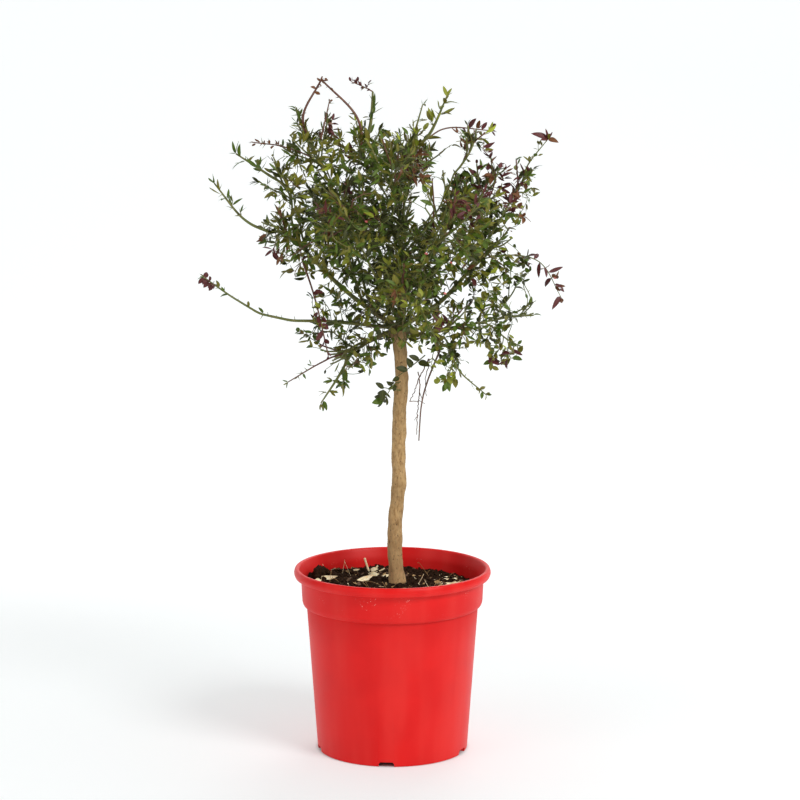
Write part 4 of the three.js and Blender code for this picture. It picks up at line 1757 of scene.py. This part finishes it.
# %% Chip shape and finish
def chip_form(name, width, curl, fold, seed):
    """A thin flake one unit long with torn ends, closed on both faces."""
    rows, columns, thick = 6, 4, 0.035
    dice = np.random.default_rng(seed)
    places = []
    half = width / 2 * np.array([0.55, 0.9, 1.0, 0.85, 0.55, 0.12]) * dice.uniform(0.85, 1.15, rows)
    ends = dice.uniform(-0.05, 0.05, (rows, columns)) + 0.1 * np.linspace(-1, 1, columns)
    for level in (0, 1):
        for i, u in enumerate(np.linspace(-0.5, 0.5, rows)):
            for j, v in enumerate(np.linspace(-1, 1, columns)):
                z = curl * u * u + fold * abs(v) * half[i] + level * thick
                places.append((v * half[i], u + ends[i, j], z))
    size = rows * columns
    corners = [i * columns + j for i in range(rows - 1) for j in range(columns - 1)]
    quads = [(a, a + 1, a + columns + 1, a + columns) for a in corners]
    faces = [tuple(size + q for q in quad) for quad in quads] + [quad[::-1] for quad in quads]
    border = list(range(columns)) + [i * columns + columns - 1 for i in range(1, rows)]
    border += list(range(size - 2, size - columns - 1, -1)) + [i * columns for i in range(rows - 2, 0, -1)]
    faces += [(a, b, size + b, size + a) for a, b in zip(border, border[1:] + border[:1])]
    return object_of(name, mesh_of(name, places, faces, smooth=False))


def grained_finish(name, main, second, roughness):
    """Two colours mixed by a grain that also stands out a little."""
    material, graph, shader = new_material(name, roughness)
    place = object_place(graph)
    grain = noise(graph, place, 2.2 * MM, 4.0)
    feed(graph, shader, base_color=graph.mix(grain.ramp(0.35, 0.68), main, second))
    feed(graph, shader, normal=bump(graph, grain, 0.3 * MM, 0.6))
    return material


chips = [
    chip_form("chip_long", 0.42, 0.35, 0.1, 41),
    chip_form("chip_broad", 0.62, -0.3, 0.15, 43),
    chip_form("chip_narrow", 0.3, 0.5, 0.1, 45),
]
CHIP_FINISHES = {
    "pale": grained_finish("chip_pale", colour(255, 244, 208), colour(244, 216, 162), 0.6),
    "tan": grained_finish("chip_tan", colour(190, 154, 102), colour(146, 112, 70), 0.8),
    "brown": grained_finish("chip_brown", colour(104, 74, 48), colour(70, 48, 32), 0.85),
}

# %% Large chips
# The larger pale pieces lie where they fell: place and length in mm, turn, tilt and form of each
LARGE_CHIPS = [
    (-71, 8, 18, 1.5, 0.12, 0), (-80, 20, 9, 2.2, 0.1, 2), (-30, 3, 19, 1.1, 0.3, 0),
    (-21, 40, 11, 1.4, 0.1, 1), (-8, 38, 9, 1.1, 0.3, 2), (-21, 66, 9, 2.0, 0.3, 1),
    (-41, 60, 7, 1.4, 0.2, 0), (-48, -27, 6, 2.9, 0.5, 2), (62, -2, 13, 1.45, 0.1, 0),
    (70, -8, 12, 1.7, 0.15, 1), (57, -19, 11, 1.35, 0.1, 0),
]
large_rows = []
for x, y, length, turn, tilt, variant in LARGE_CHIPS:
    way = pointing(math.sin(turn), math.cos(turn), tilt)
    lying = turn_to(way, pointing(0.15, -0.75, 0.65))
    large_rows.append(row_of(on_compost(x * MM, y * MM, 3.2 * MM), lying, length * MM, variant))
finish_piece(scatter("chips_large", large_rows, chips, CHIP_FINISHES["pale"], smooth=False), "compost")


# %% Small chips
def chip_drift():
    """A drift of chips against the wall on the right."""
    rows = []
    for _ in range(16):
        x, y = (65 + rng.normal(scale=8)) * MM, (-3 + rng.normal(scale=12)) * MM
        size = rng.uniform(4, 8) * MM
        if math.hypot(x, y) < compost_edge * 0.93:
            way = pointing(1.0, rng.normal(scale=0.7), rng.normal(scale=0.35))
            look = unit(np.array([0, -0.5, 0.8]) + rng.normal(scale=0.3, size=3))
            place = on_compost(x, y, rng.uniform(1, 3) * MM)
            rows.append(row_of(place, turn_to(way, look), size, int(rng.integers(3))))
    return rows


for shade, count, sizes in (("pale", 18, (3, 6)), ("tan", 64, (3, 8)), ("brown", 90, (3, 8))):
    rows = chip_drift()
    for (x, y, z), spin, size, variant in litter(count, sizes, 0.93):
        lying = (rng.normal(scale=0.35), rng.normal(scale=0.35), spin[2])
        rows.append(((x, y, z + 0.6 * MM), lying, size, variant))
    finish_piece(scatter("chips_" + shade, rows, chips, CHIP_FINISHES[shade], smooth=False), "compost")

# %% Straws and root hairs
HAIR_SIDES = 5


def thread(start, end, leave, arrive, radius):
    """A thin curve of one thickness: its points and the radius at each."""
    line = sweep(start, end, leave, arrive, step=2 * MM)
    return line, np.full(len(line), radius * MM)


straws = []
# Straws that stand up, in mm: foot, lean to the right and up, length and radius
for x, y, lean_x, lean_z, length, radius in (
    (-27, 72, -0.3, 1, 17, 1.3), (-24, 69, 0.6, 0.7, 11, 1.1), (-20, 66, 0.9, 0.4, 12, 0.9),
    (-75, 44, -0.4, 1, 11, 0.2), (-57, 47, 0.17, 1, 18, 0.18), (-47, 47, -0.4, 1, 19, 0.18),
    (29, 2, 0.45, 0.9, 13, 0.35), (42, -20, -0.5, 1, 14, 0.35), (45, 31, 0.9, 0.25, 12, 1.2),
):
    start = np.array(on_compost(x * MM, y * MM, -1 * MM))
    lean = pointing(lean_x, 0, lean_z)
    straws.append(thread(start, start + lean * length * MM, lean, unit(lean + 0.2 * UP), radius))
finish_piece(make_tubes("straws", *zip(*straws), CHIP_FINISHES["pale"], HAIR_SIDES), "compost")

hairs = []
for _ in range(28):
    (x, y, z), spin, _, _ = litter(1, (1, 2), 0.85)[0]
    start = np.array([x, y, z - 1 * MM])
    lean = pointing(math.cos(spin[0]), math.sin(spin[0]), rng.uniform(0.1, 1.6))
    fall = unit(lean + rng.normal(scale=0.7, size=3) - 0.6 * UP)
    end = start + lean * rng.uniform(7, 22) * MM
    end[2] = min(end[2], POT_HEIGHT - 1 * MM)
    hairs.append(thread(start, end, lean, fall, rng.uniform(0.13, 0.26)))
finish_piece(make_tubes("root_hairs", *zip(*hairs), CHIP_FINISHES["tan"], HAIR_SIDES), "compost")

# %% Put away the forms that the trees copied
for form in [*FORMS["narrow"], *FORMS["oval"], spine, bud, *crumbs, *clods, *chips]:
    bpy.data.objects.remove(form)

# %% [markdown]
# ## Floor, light and camera
#
# A product is shown on a pale sweep, in soft light from the front right. The floor and the backdrop are
# one bent sheet, so no horizon shows. The camera stands far back with a long lens, which keeps the pot's
# sides nearly upright.


# %% Stage
def backdrop():
    """A floor that bends up into a wall far behind, with a painted glow and a painted shadow at the pot."""
    reach, behind, rise, bend = 6.0, 3.5, 5.0, 1.5
    line = [(-reach, 0.0)]
    for turn in np.linspace(0, math.pi / 2, 12):
        line.append((behind - bend + bend * math.sin(turn), bend - bend * math.cos(turn)))
    line.append((behind, rise))
    places = [(x, y, z) for y, z in line for x in (-reach, reach)]
    faces = [(2 * i, 2 * i + 1, 2 * i + 3, 2 * i + 2) for i in range(len(line) - 1)]
    material, graph, shader = new_material("backdrop", 0.9)
    shader.inputs["Base Color"].default_value = (0.6, 0.63, 0.63, 1)
    away = object_place(graph).length()
    # A painted glow, with a painted shadow where it fades near the pot and goes out under it
    painted_glow = away.ramp(0.1, 1.3) * 0.17 + away.ramp(0.08, 0.088) * 0.36
    white = graph.node("ShaderNodeCombineXYZ", None, {0: painted_glow, 1: painted_glow, 2: painted_glow})
    shader.inputs["Emission Strength"].default_value = 1.0
    feed(graph, shader, emission_color=white)
    return object_of("backdrop", mesh_of("backdrop", places, faces), material)


backdrop()

# %% Light
SKY_STRENGTH = 0.42
world = bpy.data.worlds.new("studio")
world.use_nodes = True
sky = world.node_tree.nodes["Background"]
sky.inputs["Color"].default_value = (1.0, 1.0, 1.0, 1)
sky.inputs["Strength"].default_value = SKY_STRENGTH
bpy.context.scene.world = world


def area_light(name, place, aim, size, power):
    """A round lamp at a place that shines at an aim."""
    lamp = bpy.data.lights.new(name, "AREA")
    lamp.shape = "DISK"
    lamp.size = size
    lamp.energy = power
    holder = bpy.data.objects.new(name, lamp)
    holder.location = place
    holder.rotation_euler = (Vector(aim) - Vector(place)).to_track_quat("-Z", "Y").to_euler()
    bpy.context.scene.collection.objects.link(holder)


MIDDLE = (0, 0, 0.4)
area_light("key", (1.7, -1.8, 2.2), MIDDLE, 1.3, 54)
area_light("fill", (-2.2, -1.6, 1.4), MIDDLE, 1.6, 10)
area_light("rim", (0.6, 2.0, 2.2), (0, 0, float(crown_centre[2])), 1.4, 14)

# %% Camera
CAMERA_PLACE = (0.00845, -2.75, 0.81925)
CAMERA_PITCH = math.radians(8.813)
CAMERA_LENS = 113.69
FILM_WIDTH = 36
camera = bpy.data.objects.new("camera", bpy.data.cameras.new("camera"))
camera.data.lens = CAMERA_LENS
camera.data.sensor_width = FILM_WIDTH
camera.location = CAMERA_PLACE
camera.rotation_euler = (math.pi / 2 - CAMERA_PITCH, 0, 0)
bpy.context.scene.collection.objects.link(camera)
bpy.context.scene.camera = camera
bpy.context.scene.view_settings.view_transform = "Standard"
